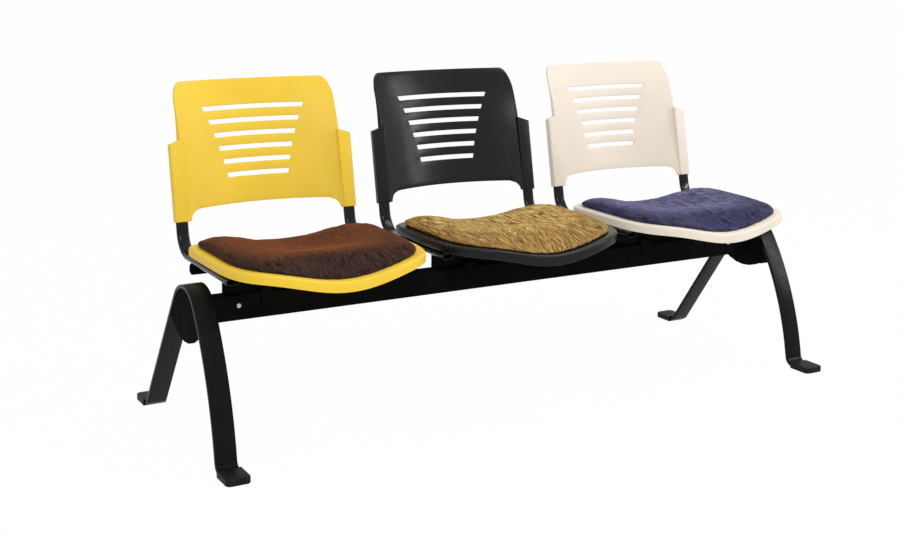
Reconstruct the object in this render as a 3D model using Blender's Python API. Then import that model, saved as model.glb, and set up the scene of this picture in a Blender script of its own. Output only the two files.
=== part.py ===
"""Three-seat beam bench: moulded seats on bent tube frames, one steel beam, two arched flat-bar legs.

Metres. +X runs along the beam, +Y points to the back, +Z is up, and the floor is at z = 0.
"""

import math

import bmesh
import bpy
from mathutils import Vector

# Clearance between pieces that touch
FIT_GAP = 0.0003

# Bench layout
SEAT_NAMES = ("left", "middle", "right")
SEAT_HEIGHT = 0.430
SEAT_SPACING = 0.050
LEG_OVERHANG = 0.2735

# Leg: a flat bar bent to an arch, with a foot turned out at each end
LEG_WIDTH = 0.050
LEG_THICK = 0.009
LEG_CHAMFER = 0.0015
LEG_RISE = 0.062
LEG_REAR_LEAN = math.radians(35.9)
LEG_TOP_RADIUS = 0.080
LEG_FRONT_TOP_LEAN = math.radians(35.0)
LEG_FRONT_FOOT_LEAN = math.radians(9.0)
LEG_FOOT_RADIUS = 0.020
LEG_FOOT_LENGTH = 0.060

# Half-moon plates that close the arch and carry the beam
PLATE_THICK = 0.005
PLATE_RECESS = 0.002
PLATE_RADIUS = 0.140
PLATE_DROP = 0.068

# Glide shoe pushed over each foot
SHOE_WALL = 0.003
SHOE_BASE = 0.0028
SHOE_TOP = 0.0026
SHOE_TOE_RADIUS = 0.012
SHOE_EDGE = 0.002

# Beam and what joins it to the legs
BEAM_HEIGHT = 0.060
BEAM_DEPTH = 0.040
BEAM_WALL = 0.003
BEAM_CORNER = 0.005
BEAM_DROP = 0.119
SPIGOT_LENGTH = 0.130
SPIGOT_CHAMFER = 0.004
SPIGOT_SCREW_INSET = 0.0745
SPIGOT_SCREW_LIFT = 0.006
SPIGOT_SCREW_DEPTH = 0.018

# Seat frame tubes, flat oval
TUBE_WIDTH = 0.030
TUBE_DEPTH = 0.015
TUBE_WALL = 0.0018
TUBE_INSET = 0.025
PAN_STAND = 0.036
TUBE_BEND = 0.060
TUBE_FRONT = 0.105
UPRIGHT_BACK = 0.2216
UPRIGHT_RISE = 0.208
UPRIGHT_LEAN = math.radians(10.9)

# Cross bars: the front one between the frame tubes, the rear one under them
BAR_DEPTH = 0.015
FRONT_BAR_HEIGHT = 0.040
FRONT_BAR_RISE = 0.0025
REAR_BAR_HEIGHT = 0.030
REAR_BAR_OVERHANG = 0.013
REAR_BAR_BACK = 0.148

# Saddles that sit over the beam
SADDLE_SPREAD = 0.107
SADDLE_WIDTH = 0.028
SADDLE_WALL = 0.004
SADDLE_LEG = 0.026
SADDLE_CHAMFER = 0.006

# Screws and bolts
BOLT_HEAD_RADIUS = 0.0065
BOLT_HEAD_HEIGHT = 0.005
BOLT_RADIUS = 0.004
BOLT_REACH = 0.012
SCREW_HEAD_RADIUS = 0.0055
SCREW_HEAD_HEIGHT = 0.0028
SCREW_RADIUS = 0.0025
HEAD_CROWN = ((0.55, 1.0), (0.90, 0.70), (1.0, 0.30), (1.0, 0.0))
TIP_START = 0.85
TIP_SHARE = 0.5
DRILL_MARGIN = 0.002

# Backrest shell
BACK_INSET = 0.0115
BACK_RISE = 0.3635
BACK_CLEARANCE = 0.062
BACK_LEAN = math.radians(13.5)
BACK_CURVE = 0.425
BACK_CORNER_WIDTH = 0.024
BACK_CORNER_HEIGHT = 0.060
BACK_THICK = 0.0048
BACK_FLARE = 0.030
BACK_WIDEN = 0.003
BACK_FLARE_RISE = 0.200
SIDE_RIM_WIDTH = 0.010
SIDE_RIM_DEPTH = 0.008
SLEEVE_WALL = 0.0027
SLEEVE_START = 0.036
SLEEVE_RISE = 0.226
SLEEVE_SLANT = 0.34
SLEEVE_CORNER = 0.005
SLEEVE_SCREW_RISE = 0.075
SLEEVE_SCREW_DEPTH = 0.008
HOOK_RADIUS = 0.026
HOOK_INSET = 0.006
HOOK_START = 15.0
SLOT_COUNT = 6
SLOT_MARGIN = 0.0635
SLOT_PITCH = 0.0326
SLOT_HEIGHT = 0.0115
SLOT_HALF = 0.1351
SLOT_TAPER = 0.0151
SLOT_TAPER_EASE = 0.0009

# Seat pan
PAN_HALF = 0.245
PAN_BACK = -0.005
PAN_FRONT = 0.235
PAN_FRONT_BOW = 0.008
PAN_REAR = 0.150
PAN_REAR_BOW = 0.035
PAN_FRONT_SQUARENESS = 3.6
PAN_REAR_SQUARENESS = 12.0
PAN_SHELL = 0.004
PAN_SKIRT = 0.027
PAN_ROUND = 0.0032
PAN_LIP = 0.025
PAN_DISH = 0.006
SEAT_TROUGH = 0.020
FRONT_TROUGH = 0.028
FRONT_TROUGH_START = 0.045
BOSS_PLACES = (-0.060, 0.100)
BOSS_RADIUS = 0.008

# Upholstered pad
BOARD_THICK = 0.006
BOARD_INSET = 0.036
CUSHION_INSET = 0.016
CUSHION_MIDDLE = 0.003
CUSHION_SIDE = 0.008
CUSHION_HUMP = 0.170
CUSHION_BULGE = 0.007
CUSHION_TUCK = 0.004
PAD_SWELL = 0.012
PAD_SWELL_FRONT = 0.120
PAD_SWELL_SPREAD = 0.120
PAD_REAR_ROLL = 6.0
PAD_FRONT_ROLL = 3.0

# Facets
OUTLINE_STEPS = 32
CORNER_CROWDING = 0.6
TUBE_STEPS = 10
BEND_STEPS = 6
ARCH_STEPS = 12
SWEEP_STEPS = 8
ROUND_STEPS = 8
PLATE_STEPS = 32
CORNER_STEPS = 3
BACK_STRIPS = 12
FLARE_STRIPS = 3
PLUG_SHARES = (0.55, 0.90, 1.0)
DISH_SHARES = (0.0, 0.35, 0.68)
PAD_SHARES = (0.0, 0.30, 0.55, 0.74, 0.86, 0.94, 0.985, 1.0)
ROUND_CORNER = 1 - math.sqrt(0.5)
SMOOTH_ANGLE = math.radians(35.0)

# Levels that follow from the sizes above
SEAT_PITCH = 2 * PAN_HALF + SEAT_SPACING
LEG_OFFSET = SEAT_PITCH * (len(SEAT_NAMES) - 1) / 2 + LEG_OVERHANG
BEAM_LEVEL = SEAT_HEIGHT - BEAM_DROP
LEG_HEIGHT = BEAM_LEVEL + LEG_RISE
PLATE_BOTTOM = BEAM_LEVEL - PLATE_DROP
TUBE_SPREAD = PAN_HALF - TUBE_INSET
TUBE_LEVEL = SEAT_HEIGHT - PAN_STAND
UPRIGHT_TOP = SEAT_HEIGHT + UPRIGHT_RISE
REAR_BAR_HALF = TUBE_SPREAD + REAR_BAR_OVERHANG
BACK_HALF = TUBE_SPREAD - BACK_INSET
BACK_TOP = SEAT_HEIGHT + BACK_RISE
BACK_BOTTOM = SEAT_HEIGHT + BACK_CLEARANCE
BACK_FLARE_START = SEAT_HEIGHT + BACK_FLARE_RISE
SLEEVE_BOTTOM = SEAT_HEIGHT + SLEEVE_START
SLEEVE_TOP = SEAT_HEIGHT + SLEEVE_RISE
SLEEVE_SCREW_LEVEL = SEAT_HEIGHT + SLEEVE_SCREW_RISE
SLOT_TOP = BACK_TOP - SLOT_MARGIN
REAR_BAR_TOP = TUBE_LEVEL - TUBE_DEPTH / 2 - FIT_GAP
FRONT_BAR_TOP = TUBE_LEVEL + FRONT_BAR_RISE
SADDLE_TOP = FRONT_BAR_TOP - FRONT_BAR_HEIGHT - FIT_GAP
BEAM_TOP = BEAM_LEVEL + BEAM_HEIGHT / 2
FOOT_LEVEL = SHOE_BASE + FIT_GAP + LEG_THICK / 2
SHOE_HEIGHT = SHOE_BASE + LEG_THICK + 2 * FIT_GAP + SHOE_TOP
PLATE_FACE = LEG_OFFSET - LEG_WIDTH / 2 + PLATE_RECESS
BEAM_HALF = PLATE_FACE - FIT_GAP
TUBE_INNER_SIDE = TUBE_SPREAD - TUBE_WIDTH / 2
FRONT_BAR_HALF = TUBE_INNER_SIDE - FIT_GAP
SEAM_INSET = CUSHION_INSET + CUSHION_TUCK
BOLT = (BOLT_HEAD_RADIUS, BOLT_HEAD_HEIGHT, BOLT_RADIUS)
SCREW = (SCREW_HEAD_RADIUS, SCREW_HEAD_HEIGHT, SCREW_RADIUS)

# Finishes: colour, roughness, metallic
FINISHES = {
    "powder_coat": ((0.012, 0.012, 0.013), 0.38, 0.0),
    "glide_plastic": ((0.016, 0.016, 0.017), 0.55, 0.0),
    "zinc_steel": ((0.55, 0.55, 0.56), 0.30, 1.0),
    "board": ((0.45, 0.30, 0.17), 0.70, 0.0),
    "left_plastic": ((0.90, 0.60, 0.06), 0.40, 0.0),
    "middle_plastic": ((0.010, 0.010, 0.011), 0.36, 0.0),
    "right_plastic": ((0.84, 0.75, 0.64), 0.42, 0.0),
    "left_fabric": ((0.16, 0.055, 0.025), 0.95, 0.0),
    "middle_fabric": ((0.36, 0.22, 0.06), 0.95, 0.0),
    "right_fabric": ((0.075, 0.08, 0.22), 0.95, 0.0),
}


def clear_scene():
    for item in list(bpy.data.objects):
        bpy.data.objects.remove(item, do_unlink=True)


def finish(name):
    """The material of this name, made on first use."""
    material = bpy.data.materials.get(name)
    if material:
        return material
    colour, roughness, metallic = FINISHES[name]
    material = bpy.data.materials.new(name)
    material.use_nodes = True
    shader = material.node_tree.nodes["Principled BSDF"]
    shader.inputs["Base Color"].default_value = (*colour, 1.0)
    shader.inputs["Roughness"].default_value = roughness
    shader.inputs["Metallic"].default_value = metallic
    material.diffuse_color = (*colour, 1.0)
    return material


def add_object(name, mesh, finish_name):
    item = bpy.data.objects.new(name, mesh)
    bpy.context.scene.collection.objects.link(item)
    if finish_name:
        mesh.materials.append(finish(finish_name))
    return item


def mesh_of(name, work):
    """Turns a finished bmesh into mesh data, shaded smooth except at its edges."""
    bmesh.ops.recalc_face_normals(work, faces=work.faces)
    mesh = bpy.data.meshes.new(name)
    work.to_mesh(mesh)
    work.free()
    mesh.shade_smooth()
    mesh.set_sharp_from_angle(angle=SMOOTH_ANGLE)
    return mesh


def ring_reach(ring):
    """How far a ring of mesh points spreads from its own middle."""
    middle = sum((point.co for point in ring), Vector()) / len(ring)
    return sum((point.co - middle).length for point in ring)


def ring_solid(name, rings, finish_name=None, looped=False, split=True):
    """Skins rings of equal point counts. Capped at both ends, or closed on itself when looped.

    Each quad is split from its inner ring to its outer one, so that stacked skins keep their gap.
    Flat sides that get holes stay whole. A first or last ring of one point closes its end to a tip.
    """
    work = bmesh.new()
    loops = [[work.verts.new(point) for point in ring] for ring in rings]
    pairs = list(zip(loops, loops[1:]))
    if looped:
        pairs.append((loops[-1], loops[0]))
    for first, second in pairs:
        inner, outer = sorted((first, second), key=ring_reach)
        for i in range(len(outer)):
            j = (i + 1) % len(outer)
            if len(inner) == 1:
                work.faces.new((inner[0], outer[i], outer[j]))
            elif split:
                work.faces.new((inner[i], inner[j], outer[j]))
                work.faces.new((inner[i], outer[j], outer[i]))
            else:
                work.faces.new((inner[i], inner[j], outer[j], outer[i]))
    if not looped:
        for end in (loops[0], loops[-1]):
            if len(end) > 1:
                work.faces.new(end)
    return add_object(name, mesh_of(name, work), finish_name)


def as_cutter(item):
    item.hide_render = True
    item.display_type = "WIRE"
    return item


def combine(item, other, operation):
    as_cutter(other)
    modifier = item.modifiers.new(operation.lower(), "BOOLEAN")
    modifier.operation = operation
    modifier.solver = "EXACT"
    modifier.object = other


def turned(name, profile, foot, axis, finish_name=None):
    """A round piece from (radius, distance along axis) pairs, standing on the point foot."""
    axis = Vector(axis).normalized()
    across = axis.orthogonal().normalized()
    third = axis.cross(across)
    rings = []
    for radius, along in profile:
        ring = []
        for k in range(ROUND_STEPS):
            turn = math.tau * (k + 0.5) / ROUND_STEPS
            side = across * math.cos(turn) + third * math.sin(turn)
            ring.append(Vector(foot) + axis * along + side * radius)
        rings.append(ring)
    return ring_solid(name, rings, finish_name)


def drill(item, name, radius, foot, axis, depth):
    combine(item, turned(name, ((radius, 0.0), (radius, depth)), foot, axis), "DIFFERENCE")


def headed_screw(name, sizes, foot, axis, depth):
    """A screw with a rounded head. Its shank runs from foot along axis, its head stands behind foot."""
    head_radius, head_height, radius = sizes
    profile = [(head_radius * wide, -head_height * high) for wide, high in HEAD_CROWN]
    profile += [(radius, 0.0), (radius, depth * TIP_START), (radius * TIP_SHARE, depth)]
    return turned(name, profile, foot, axis, "zinc_steel")


def rounded_rectangle(half_a, half_b, radius):
    """Points of a rectangle with round corners, counter-clockwise."""
    points = []
    for quarter, (sign_a, sign_b) in enumerate(((1, 1), (-1, 1), (-1, -1), (1, -1))):
        for k in range(CORNER_STEPS + 1):
            turn = math.pi / 2 * (quarter + k / CORNER_STEPS)
            a = sign_a * (half_a - radius) + radius * math.cos(turn)
            b = sign_b * (half_b - radius) + radius * math.sin(turn)
            points.append((a, b))
    return points


def chamfered_rectangle(half_a, half_b, chamfer):
    points = []
    for sign_a, sign_b in ((1, 1), (-1, 1), (-1, -1), (1, -1)):
        first = (sign_a * half_a, sign_b * (half_b - chamfer))
        second = (sign_a * (half_a - chamfer), sign_b * half_b)
        points += [first, second] if sign_a == sign_b else [second, first]
    return points


def flat_oval(half_a, half_b):
    """A slot-shaped section: two half circles of radius half_b joined by straight sides."""
    points = []
    half = TUBE_STEPS // 2
    for sign in (1, -1):
        for k in range(half):
            turn = math.pi * (k / (half - 1) - 0.5)
            a = half_a - half_b + half_b * math.cos(turn)
            points.append((sign * a, sign * half_b * math.sin(turn)))
    return points


class Trace:
    """Walks a line in the YZ plane and keeps (y, z, heading) stations.

    Heading 0 is +Y, a quarter turn is +Z.
    """

    def __init__(self, y, z, heading):
        self.stations = [(y, z, heading)]

    def straight(self, length):
        y, z, heading = self.stations[-1]
        self.stations.append((y + length * math.cos(heading), z + length * math.sin(heading), heading))
        return self

    def bend(self, radius, angle, steps):
        y, z, start = self.stations[-1]
        side = math.copysign(radius, angle)
        for k in range(1, steps + 1):
            heading = start + angle * k / steps
            self.stations.append((
                y + side * (math.sin(heading) - math.sin(start)),
                z + side * (math.cos(start) - math.cos(heading)),
                heading,
            ))
        return self


def swept_rings(stations, section, x):
    """A section of (across X, across the line) points, carried along a trace at the given x."""
    rings = []
    for y, z, heading in stations:
        up_y, up_z = -math.sin(heading), math.cos(heading)
        rings.append([(x + a, y + b * up_y, z + b * up_z) for a, b in section])
    return rings


# Legs


def leg_trace():
    """The bar's middle line from the rear toe over the arch to the front toe, and the arch's top point."""
    rear = math.pi / 2 + LEG_REAR_LEAN
    front = 1.5 * math.pi - LEG_FRONT_TOP_LEAN
    foot = 1.5 * math.pi - LEG_FRONT_FOOT_LEAN
    apex_level = LEG_HEIGHT - LEG_THICK / 2
    rise = apex_level - FOOT_LEVEL
    rear_run = rise - LEG_FOOT_RADIUS * (1 + math.cos(rear)) - LEG_TOP_RADIUS * (1 + math.cos(rear))
    rear_run /= math.sin(rear)
    drop = rise - LEG_TOP_RADIUS * (1 + math.cos(front)) - LEG_FOOT_RADIUS * (1 + math.cos(foot))
    front_radius = drop / (math.cos(foot) - math.cos(front))

    trace = Trace(0.0, FOOT_LEVEL, math.pi)
    trace.straight(LEG_FOOT_LENGTH)
    trace.bend(LEG_FOOT_RADIUS, rear - math.pi, CORNER_STEPS)
    trace.straight(rear_run)
    arch_start = len(trace.stations) - 1
    apex_y = trace.stations[-1][0] - LEG_TOP_RADIUS * math.sin(rear)
    trace.bend(LEG_TOP_RADIUS, front - rear, ARCH_STEPS)
    trace.bend(front_radius, foot - front, SWEEP_STEPS)
    arch_end = len(trace.stations)
    trace.bend(LEG_FOOT_RADIUS, math.pi - foot, CORNER_STEPS)
    trace.straight(LEG_FOOT_LENGTH)
    shift = -trace.stations[-1][0] / 2
    stations = [(y + shift, z, heading) for y, z, heading in trace.stations]
    return stations, stations[arch_start - 1:arch_end], apex_y + shift


LEG_STATIONS, ARCH_STATIONS, BEAM_Y = leg_trace()
TOE_Y = LEG_STATIONS[0][0]
SEAT_Y = BEAM_Y + PAN_BACK


def arch_prism(name, low_x, high_x, margin):
    """The space under the arch between two x planes, margin clear of the bar."""
    outline = swept_rings(ARCH_STATIONS, ((0.0, LEG_THICK / 2 + margin),), 0.0)
    rings = [[(x, ring[0][1], ring[0][2]) for ring in outline] for x in (low_x, high_x)]
    return ring_solid(name, rings, "powder_coat")


def half_moon_plate(name, face_x, side):
    """A plate inside the arch with a round lower edge.

    Its face lies at face_x, its body goes to the side given.
    """
    low_x, high_x = sorted((face_x, face_x + side * PLATE_THICK))
    plate = arch_prism(name, low_x, high_x, FIT_GAP)
    rings = []
    for x in (low_x - PLATE_THICK, high_x + PLATE_THICK):
        ring = []
        for k in range(PLATE_STEPS):
            turn = math.tau * k / PLATE_STEPS
            y = BEAM_Y + PLATE_RADIUS * math.sin(turn)
            ring.append((x, y, PLATE_BOTTOM + PLATE_RADIUS * (1 - math.cos(turn))))
        rings.append(ring)
    combine(plate, ring_solid(name + "_round", rings), "INTERSECT")
    return plate


def glide_shoe(name, x, facing):
    """A cap over the turned-out foot: open at the heel, round at the toe corners.

    facing is -1 in front, 1 behind.
    """
    half_width = LEG_WIDTH / 2 + FIT_GAP + SHOE_WALL
    toe = TOE_Y + FIT_GAP + SHOE_WALL
    heel = TOE_Y - LEG_FOOT_LENGTH
    rings = []
    for inset, z in (
        (SHOE_EDGE / 2, 0.0),
        (0.0, SHOE_EDGE / 2),
        (0.0, SHOE_HEIGHT - SHOE_EDGE),
        (SHOE_EDGE, SHOE_HEIGHT),
    ):
        ring = [(x - half_width + inset, facing * heel, z), (x + half_width - inset, facing * heel, z)]
        for sign in (1, -1):
            for k in range(CORNER_STEPS + 1):
                turn = math.pi / 2 * k / CORNER_STEPS
                turn = turn if sign > 0 else math.pi / 2 - turn
                across = half_width - SHOE_TOE_RADIUS + (SHOE_TOE_RADIUS - inset) * math.cos(turn)
                ahead = toe - SHOE_TOE_RADIUS + (SHOE_TOE_RADIUS - inset) * math.sin(turn)
                ring.append((x + sign * across, facing * ahead, z))
        rings.append(ring)
    shoe = ring_solid(name, rings, "glide_plastic")
    pocket = []
    for y in (heel - LEG_FOOT_LENGTH, TOE_Y + FIT_GAP):
        section = chamfered_rectangle(LEG_WIDTH / 2 + FIT_GAP, LEG_THICK / 2 + FIT_GAP, LEG_CHAMFER)
        pocket.append([(x + a, facing * y, FOOT_LEVEL + b) for a, b in section])
    combine(shoe, ring_solid(name + "_pocket", pocket), "DIFFERENCE")
    return shoe


def leg(name, side):
    x = side * LEG_OFFSET
    section = chamfered_rectangle(LEG_WIDTH / 2, LEG_THICK / 2, LEG_CHAMFER)
    ring_solid(name + "_leg_bar", swept_rings(LEG_STATIONS, section, x), "powder_coat")
    half_moon_plate(name + "_leg_inner_plate", side * PLATE_FACE, side)
    outer_face = LEG_OFFSET + LEG_WIDTH / 2 - PLATE_RECESS
    half_moon_plate(name + "_leg_outer_plate", side * outer_face, -side)
    glide_shoe(name + "_front_shoe", x, -1)
    glide_shoe(name + "_rear_shoe", x, 1)


# Beam


def beam_screw_place(side):
    front = BEAM_Y - BEAM_DEPTH / 2 - FIT_GAP
    return Vector((side * (BEAM_HALF - SPIGOT_SCREW_INSET), front, BEAM_LEVEL + SPIGOT_SCREW_LIFT))


def spigot(name, side):
    """The block on the leg plate that fills the end of the beam, tapered where it enters."""
    half_depth = BEAM_DEPTH / 2 - BEAM_WALL - FIT_GAP
    half_height = BEAM_HEIGHT / 2 - BEAM_WALL - FIT_GAP
    far_end = BEAM_HALF - SPIGOT_LENGTH
    rings = []
    for x, inset in ((BEAM_HALF, 0.0), (far_end + SPIGOT_CHAMFER, 0.0), (far_end, SPIGOT_CHAMFER)):
        section = rounded_rectangle(half_depth - inset, half_height - inset, BEAM_CORNER)
        rings.append([(side * x, BEAM_Y + a, BEAM_LEVEL + b) for a, b in section])
    block = ring_solid(name + "_spigot", rings, "powder_coat")
    place = beam_screw_place(side)
    hole = BOLT_RADIUS + FIT_GAP
    depth = BEAM_WALL + SPIGOT_SCREW_DEPTH + FIT_GAP
    drill(block, name + "_spigot_hole", hole, place, (0, 1, 0), depth + FIT_GAP)
    headed_screw(name + "_spigot_screw", BOLT, place, (0, 1, 0), depth)


def saddle_bolt_place(x):
    back = BEAM_DEPTH / 2 + FIT_GAP + SADDLE_WALL + FIT_GAP
    return Vector((x, BEAM_Y + back, BEAM_TOP - SADDLE_LEG / 2))


def seat_x(index):
    return (index - (len(SEAT_NAMES) - 1) / 2) * SEAT_PITCH


def beam():
    rings = []
    outer = rounded_rectangle(BEAM_DEPTH / 2, BEAM_HEIGHT / 2, BEAM_CORNER)
    inner_corner = BEAM_CORNER - BEAM_WALL
    inner = rounded_rectangle(BEAM_DEPTH / 2 - BEAM_WALL, BEAM_HEIGHT / 2 - BEAM_WALL, inner_corner)
    for section, ends in ((outer, (-1, 1)), (inner, (1, -1))):
        for end in ends:
            rings.append([(end * BEAM_HALF, BEAM_Y + a, BEAM_LEVEL + b) for a, b in section])
    tube = ring_solid("beam", rings, "powder_coat", looped=True, split=False)
    hole = BOLT_RADIUS + FIT_GAP
    depth = FIT_GAP + BEAM_WALL + 2 * DRILL_MARGIN
    for side in (-1, 1):
        start = beam_screw_place(side) - Vector((0, DRILL_MARGIN, 0))
        drill(tube, f"beam_screw_hole_{side}", hole, start, (0, 1, 0), depth)
    depth = SADDLE_WALL + BEAM_WALL + 2 * FIT_GAP + DRILL_MARGIN
    for index in range(len(SEAT_NAMES)):
        for side in (-1, 1):
            start = saddle_bolt_place(seat_x(index) + side * SADDLE_SPREAD)
            drill(tube, f"beam_bolt_hole_{index}_{side}", hole, start, (0, -1, 0), depth)


def saddle(name, x):
    """A cast clamp over the beam with a leg down each face, held by a bolt through its rear leg."""
    inside = BEAM_DEPTH / 2 + FIT_GAP
    outside = inside + SADDLE_WALL
    low = BEAM_TOP - SADDLE_LEG
    roof = BEAM_TOP + FIT_GAP
    shoulder = outside - SADDLE_CHAMFER
    outline = (
        (-outside, low),
        (-inside, low),
        (-inside, roof),
        (inside, roof),
        (inside, low),
        (outside, low),
        (outside, SADDLE_TOP - SADDLE_CHAMFER),
        (shoulder, SADDLE_TOP),
        (-shoulder, SADDLE_TOP),
        (-outside, SADDLE_TOP - SADDLE_CHAMFER),
    )
    ends = (x - SADDLE_WIDTH / 2, x + SADDLE_WIDTH / 2)
    rings = [[(end, BEAM_Y + y, z) for y, z in outline] for end in ends]
    clamp = ring_solid(name, rings, "powder_coat")
    place = saddle_bolt_place(x)
    start = place + Vector((0, DRILL_MARGIN, 0))
    depth = FIT_GAP + SADDLE_WALL + 2 * DRILL_MARGIN
    drill(clamp, name + "_hole", BOLT_RADIUS + FIT_GAP, start, (0, -1, 0), depth)
    headed_screw(name + "_bolt", BOLT, place, (0, -1, 0), BOLT_REACH)


# Seat frame


def upright_y(z):
    """Where the middle line of an upright lies at height z."""
    return BEAM_Y + UPRIGHT_BACK + (z - TUBE_LEVEL) * math.tan(UPRIGHT_LEAN)


def frame_stations():
    """From the front end, back along the seat, round the bend and up the upright."""
    turn = math.pi / 2 - UPRIGHT_LEAN
    setback = TUBE_BEND * math.tan(turn / 2)
    trace = Trace(BEAM_Y - TUBE_FRONT, TUBE_LEVEL, 0.0)
    trace.straight(TUBE_FRONT + UPRIGHT_BACK - setback)
    trace.bend(TUBE_BEND, turn, BEND_STEPS)
    trace.straight((UPRIGHT_TOP - trace.stations[-1][1]) / math.cos(UPRIGHT_LEAN))
    return trace.stations


def sleeve_screw(x):
    """Where the screw through the back of a sleeve starts, and the way it points."""
    forward = Vector((0, -math.cos(UPRIGHT_LEAN), math.sin(UPRIGHT_LEAN)))
    middle = Vector((x, upright_y(SLEEVE_SCREW_LEVEL), SLEEVE_SCREW_LEVEL))
    return middle - forward * (TUBE_DEPTH / 2 + 2 * FIT_GAP + SLEEVE_WALL), forward


def frame_tube(name, x):
    outer = flat_oval(TUBE_WIDTH / 2, TUBE_DEPTH / 2)
    inner = flat_oval(TUBE_WIDTH / 2 - TUBE_WALL, TUBE_DEPTH / 2 - TUBE_WALL)
    stations = frame_stations()
    rings = swept_rings(stations, outer, x) + swept_rings(stations[::-1], inner, x)
    tube = ring_solid(name, rings, "powder_coat", looped=True)
    place, forward = sleeve_screw(x)
    drill(tube, name + "_hole", SCREW_RADIUS + FIT_GAP, place, forward, SLEEVE_WALL + TUBE_DEPTH / 2)


def cross_bar(name, x, y, top, height, half_length, plug):
    """A flat oval bar on edge. With a plug depth its ends are rounded, without one they are cut square."""
    section = flat_oval(height / 2, BAR_DEPTH / 2)
    shares = PLUG_SHARES if plug else PLUG_SHARES[-1:]
    rings = []
    for end, steps in ((-1, shares), (1, shares[::-1])):
        for share in steps:
            place = x + end * (half_length - plug * (1 - math.sqrt(1 - share ** 2)))
            rings.append([(place, y + share * b, top + share * a - height / 2) for a, b in section])
    return ring_solid(name, rings, "powder_coat")


# Backrest


def sag(x):
    return BACK_CURVE - math.sqrt(BACK_CURVE ** 2 - x ** 2)


def flare_share(z):
    """How far the panel has opened at height z: nothing at the sleeves, all of it at the top edge."""
    return (max(0.0, z - BACK_FLARE_START) / (BACK_TOP - BACK_FLARE_START)) ** 2


def back_y(x, z):
    """The middle surface of the curved back panel."""
    rise = (z - SLEEVE_TOP) * math.tan(BACK_LEAN)
    flare = BACK_FLARE * flare_share(z) * (x / BACK_HALF) ** 2
    return upright_y(SLEEVE_TOP) + rise + flare + sag(BACK_HALF) - sag(x)


def slot_half(depth):
    """Half the slot width at a depth below the top slot, counted in slot pitches."""
    return SLOT_HALF - SLOT_TAPER * depth + SLOT_TAPER_EASE * depth ** 2


def arc(centre_x, centre_z, width, height, start, end, steps):
    points = []
    for k in range(steps + 1):
        turn = math.radians(start + (end - start) * k / steps)
        points.append((centre_x + width * math.cos(turn), centre_z + height * math.sin(turn)))
    return points


def back_outline():
    """The flat outline of the panel in x and z: from the top middle to the lower middle, then mirrored."""
    hook_side = TUBE_INNER_SIDE - FIT_GAP - SLEEVE_WALL - HOOK_INSET
    hook_low = SLEEVE_BOTTOM + BACK_THICK / 2
    wide, tall = BACK_CORNER_WIDTH, BACK_CORNER_HEIGHT
    half = arc(BACK_HALF - wide, BACK_TOP - tall, wide, tall, 90, 0, 2 * CORNER_STEPS)
    half.append((BACK_HALF, hook_low))
    half.append((hook_side, hook_low))
    hook_bottom = BACK_BOTTOM - HOOK_RADIUS
    round_in = (HOOK_RADIUS, HOOK_RADIUS, HOOK_START, 90, CORNER_STEPS)
    half += arc(hook_side - HOOK_RADIUS, hook_bottom, *round_in)
    return half + [(-x, z) for x, z in reversed(half)]


def slot_outlines():
    for k in range(SLOT_COUNT):
        top = SLOT_TOP - k * SLOT_PITCH
        wide = slot_half(k)
        narrow = slot_half(k + SLOT_HEIGHT / SLOT_PITCH)
        low = top - SLOT_HEIGHT
        yield [(-wide, top), (wide, top), (narrow, low), (-narrow, low)]


def side_rim(x, z):
    """How much deeper the panel is at its side edges: most at the sleeves, nothing at the top corners."""
    outward = (abs(x) - BACK_HALF + SIDE_RIM_WIDTH) / SIDE_RIM_WIDTH
    upward = (z - SLEEVE_TOP) / (BACK_TOP - BACK_CORNER_HEIGHT - SLEEVE_TOP)
    return SIDE_RIM_DEPTH * max(0.0, outward) * min(max(1.0 - upward, 0.0), 1.0)


def panel_side(panel):
    """The offset with which thickness grows towards the back, whichever way the panel's faces look."""
    facing = sum(face.normal.y * face.area for face in panel.data.polygons)
    return math.copysign(1.0, facing)


def back_panel(name, x, finish_name):
    """The slotted panel: a flat blank cut in strips and bent, then given its thickness and side rims."""
    work = bmesh.new()
    for outline in [back_outline(), *slot_outlines()]:
        corners = [work.verts.new((a, 0.0, b)) for a, b in outline]
        for first, second in zip(corners, corners[1:] + corners[:1]):
            work.edges.new((first, second))
    bmesh.ops.triangle_fill(work, use_beauty=True, edges=work.edges)
    cuts = [((BACK_HALF * (2 * k / BACK_STRIPS - 1), 0, 0), (1, 0, 0)) for k in range(1, BACK_STRIPS)]
    cuts += [((side * (BACK_HALF - SIDE_RIM_WIDTH), 0, 0), (1, 0, 0)) for side in (-1, 1)]
    for k in range(FLARE_STRIPS):
        level = BACK_FLARE_START + (BACK_TOP - BACK_FLARE_START) * k / FLARE_STRIPS
        cuts.append(((0, 0, level), (0, 0, 1)))
    for place, normal in cuts:
        geometry = work.verts[:] + work.edges[:] + work.faces[:]
        bmesh.ops.bisect_plane(work, geom=geometry, plane_co=place, plane_no=normal)
    bmesh.ops.triangulate(work, faces=work.faces)
    depths = []
    for point in work.verts:
        a, z = point.co.x, point.co.z
        point.co.x = x + a + BACK_WIDEN * flare_share(z) * (a / BACK_HALF) ** 3
        point.co.y = back_y(a, z) - BACK_THICK / 2
        depths.append(BACK_THICK + side_rim(a, z))
    panel = add_object(name, mesh_of(name, work), finish_name)
    deepest = BACK_THICK + SIDE_RIM_DEPTH
    group = panel.vertex_groups.new(name="depth")
    for index, depth in enumerate(depths):
        group.add([index], depth / deepest, "REPLACE")
    shell = panel.modifiers.new("thickness", "SOLIDIFY")
    shell.thickness = deepest
    shell.vertex_group = group.name
    shell.offset = panel_side(panel)
    return panel


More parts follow.
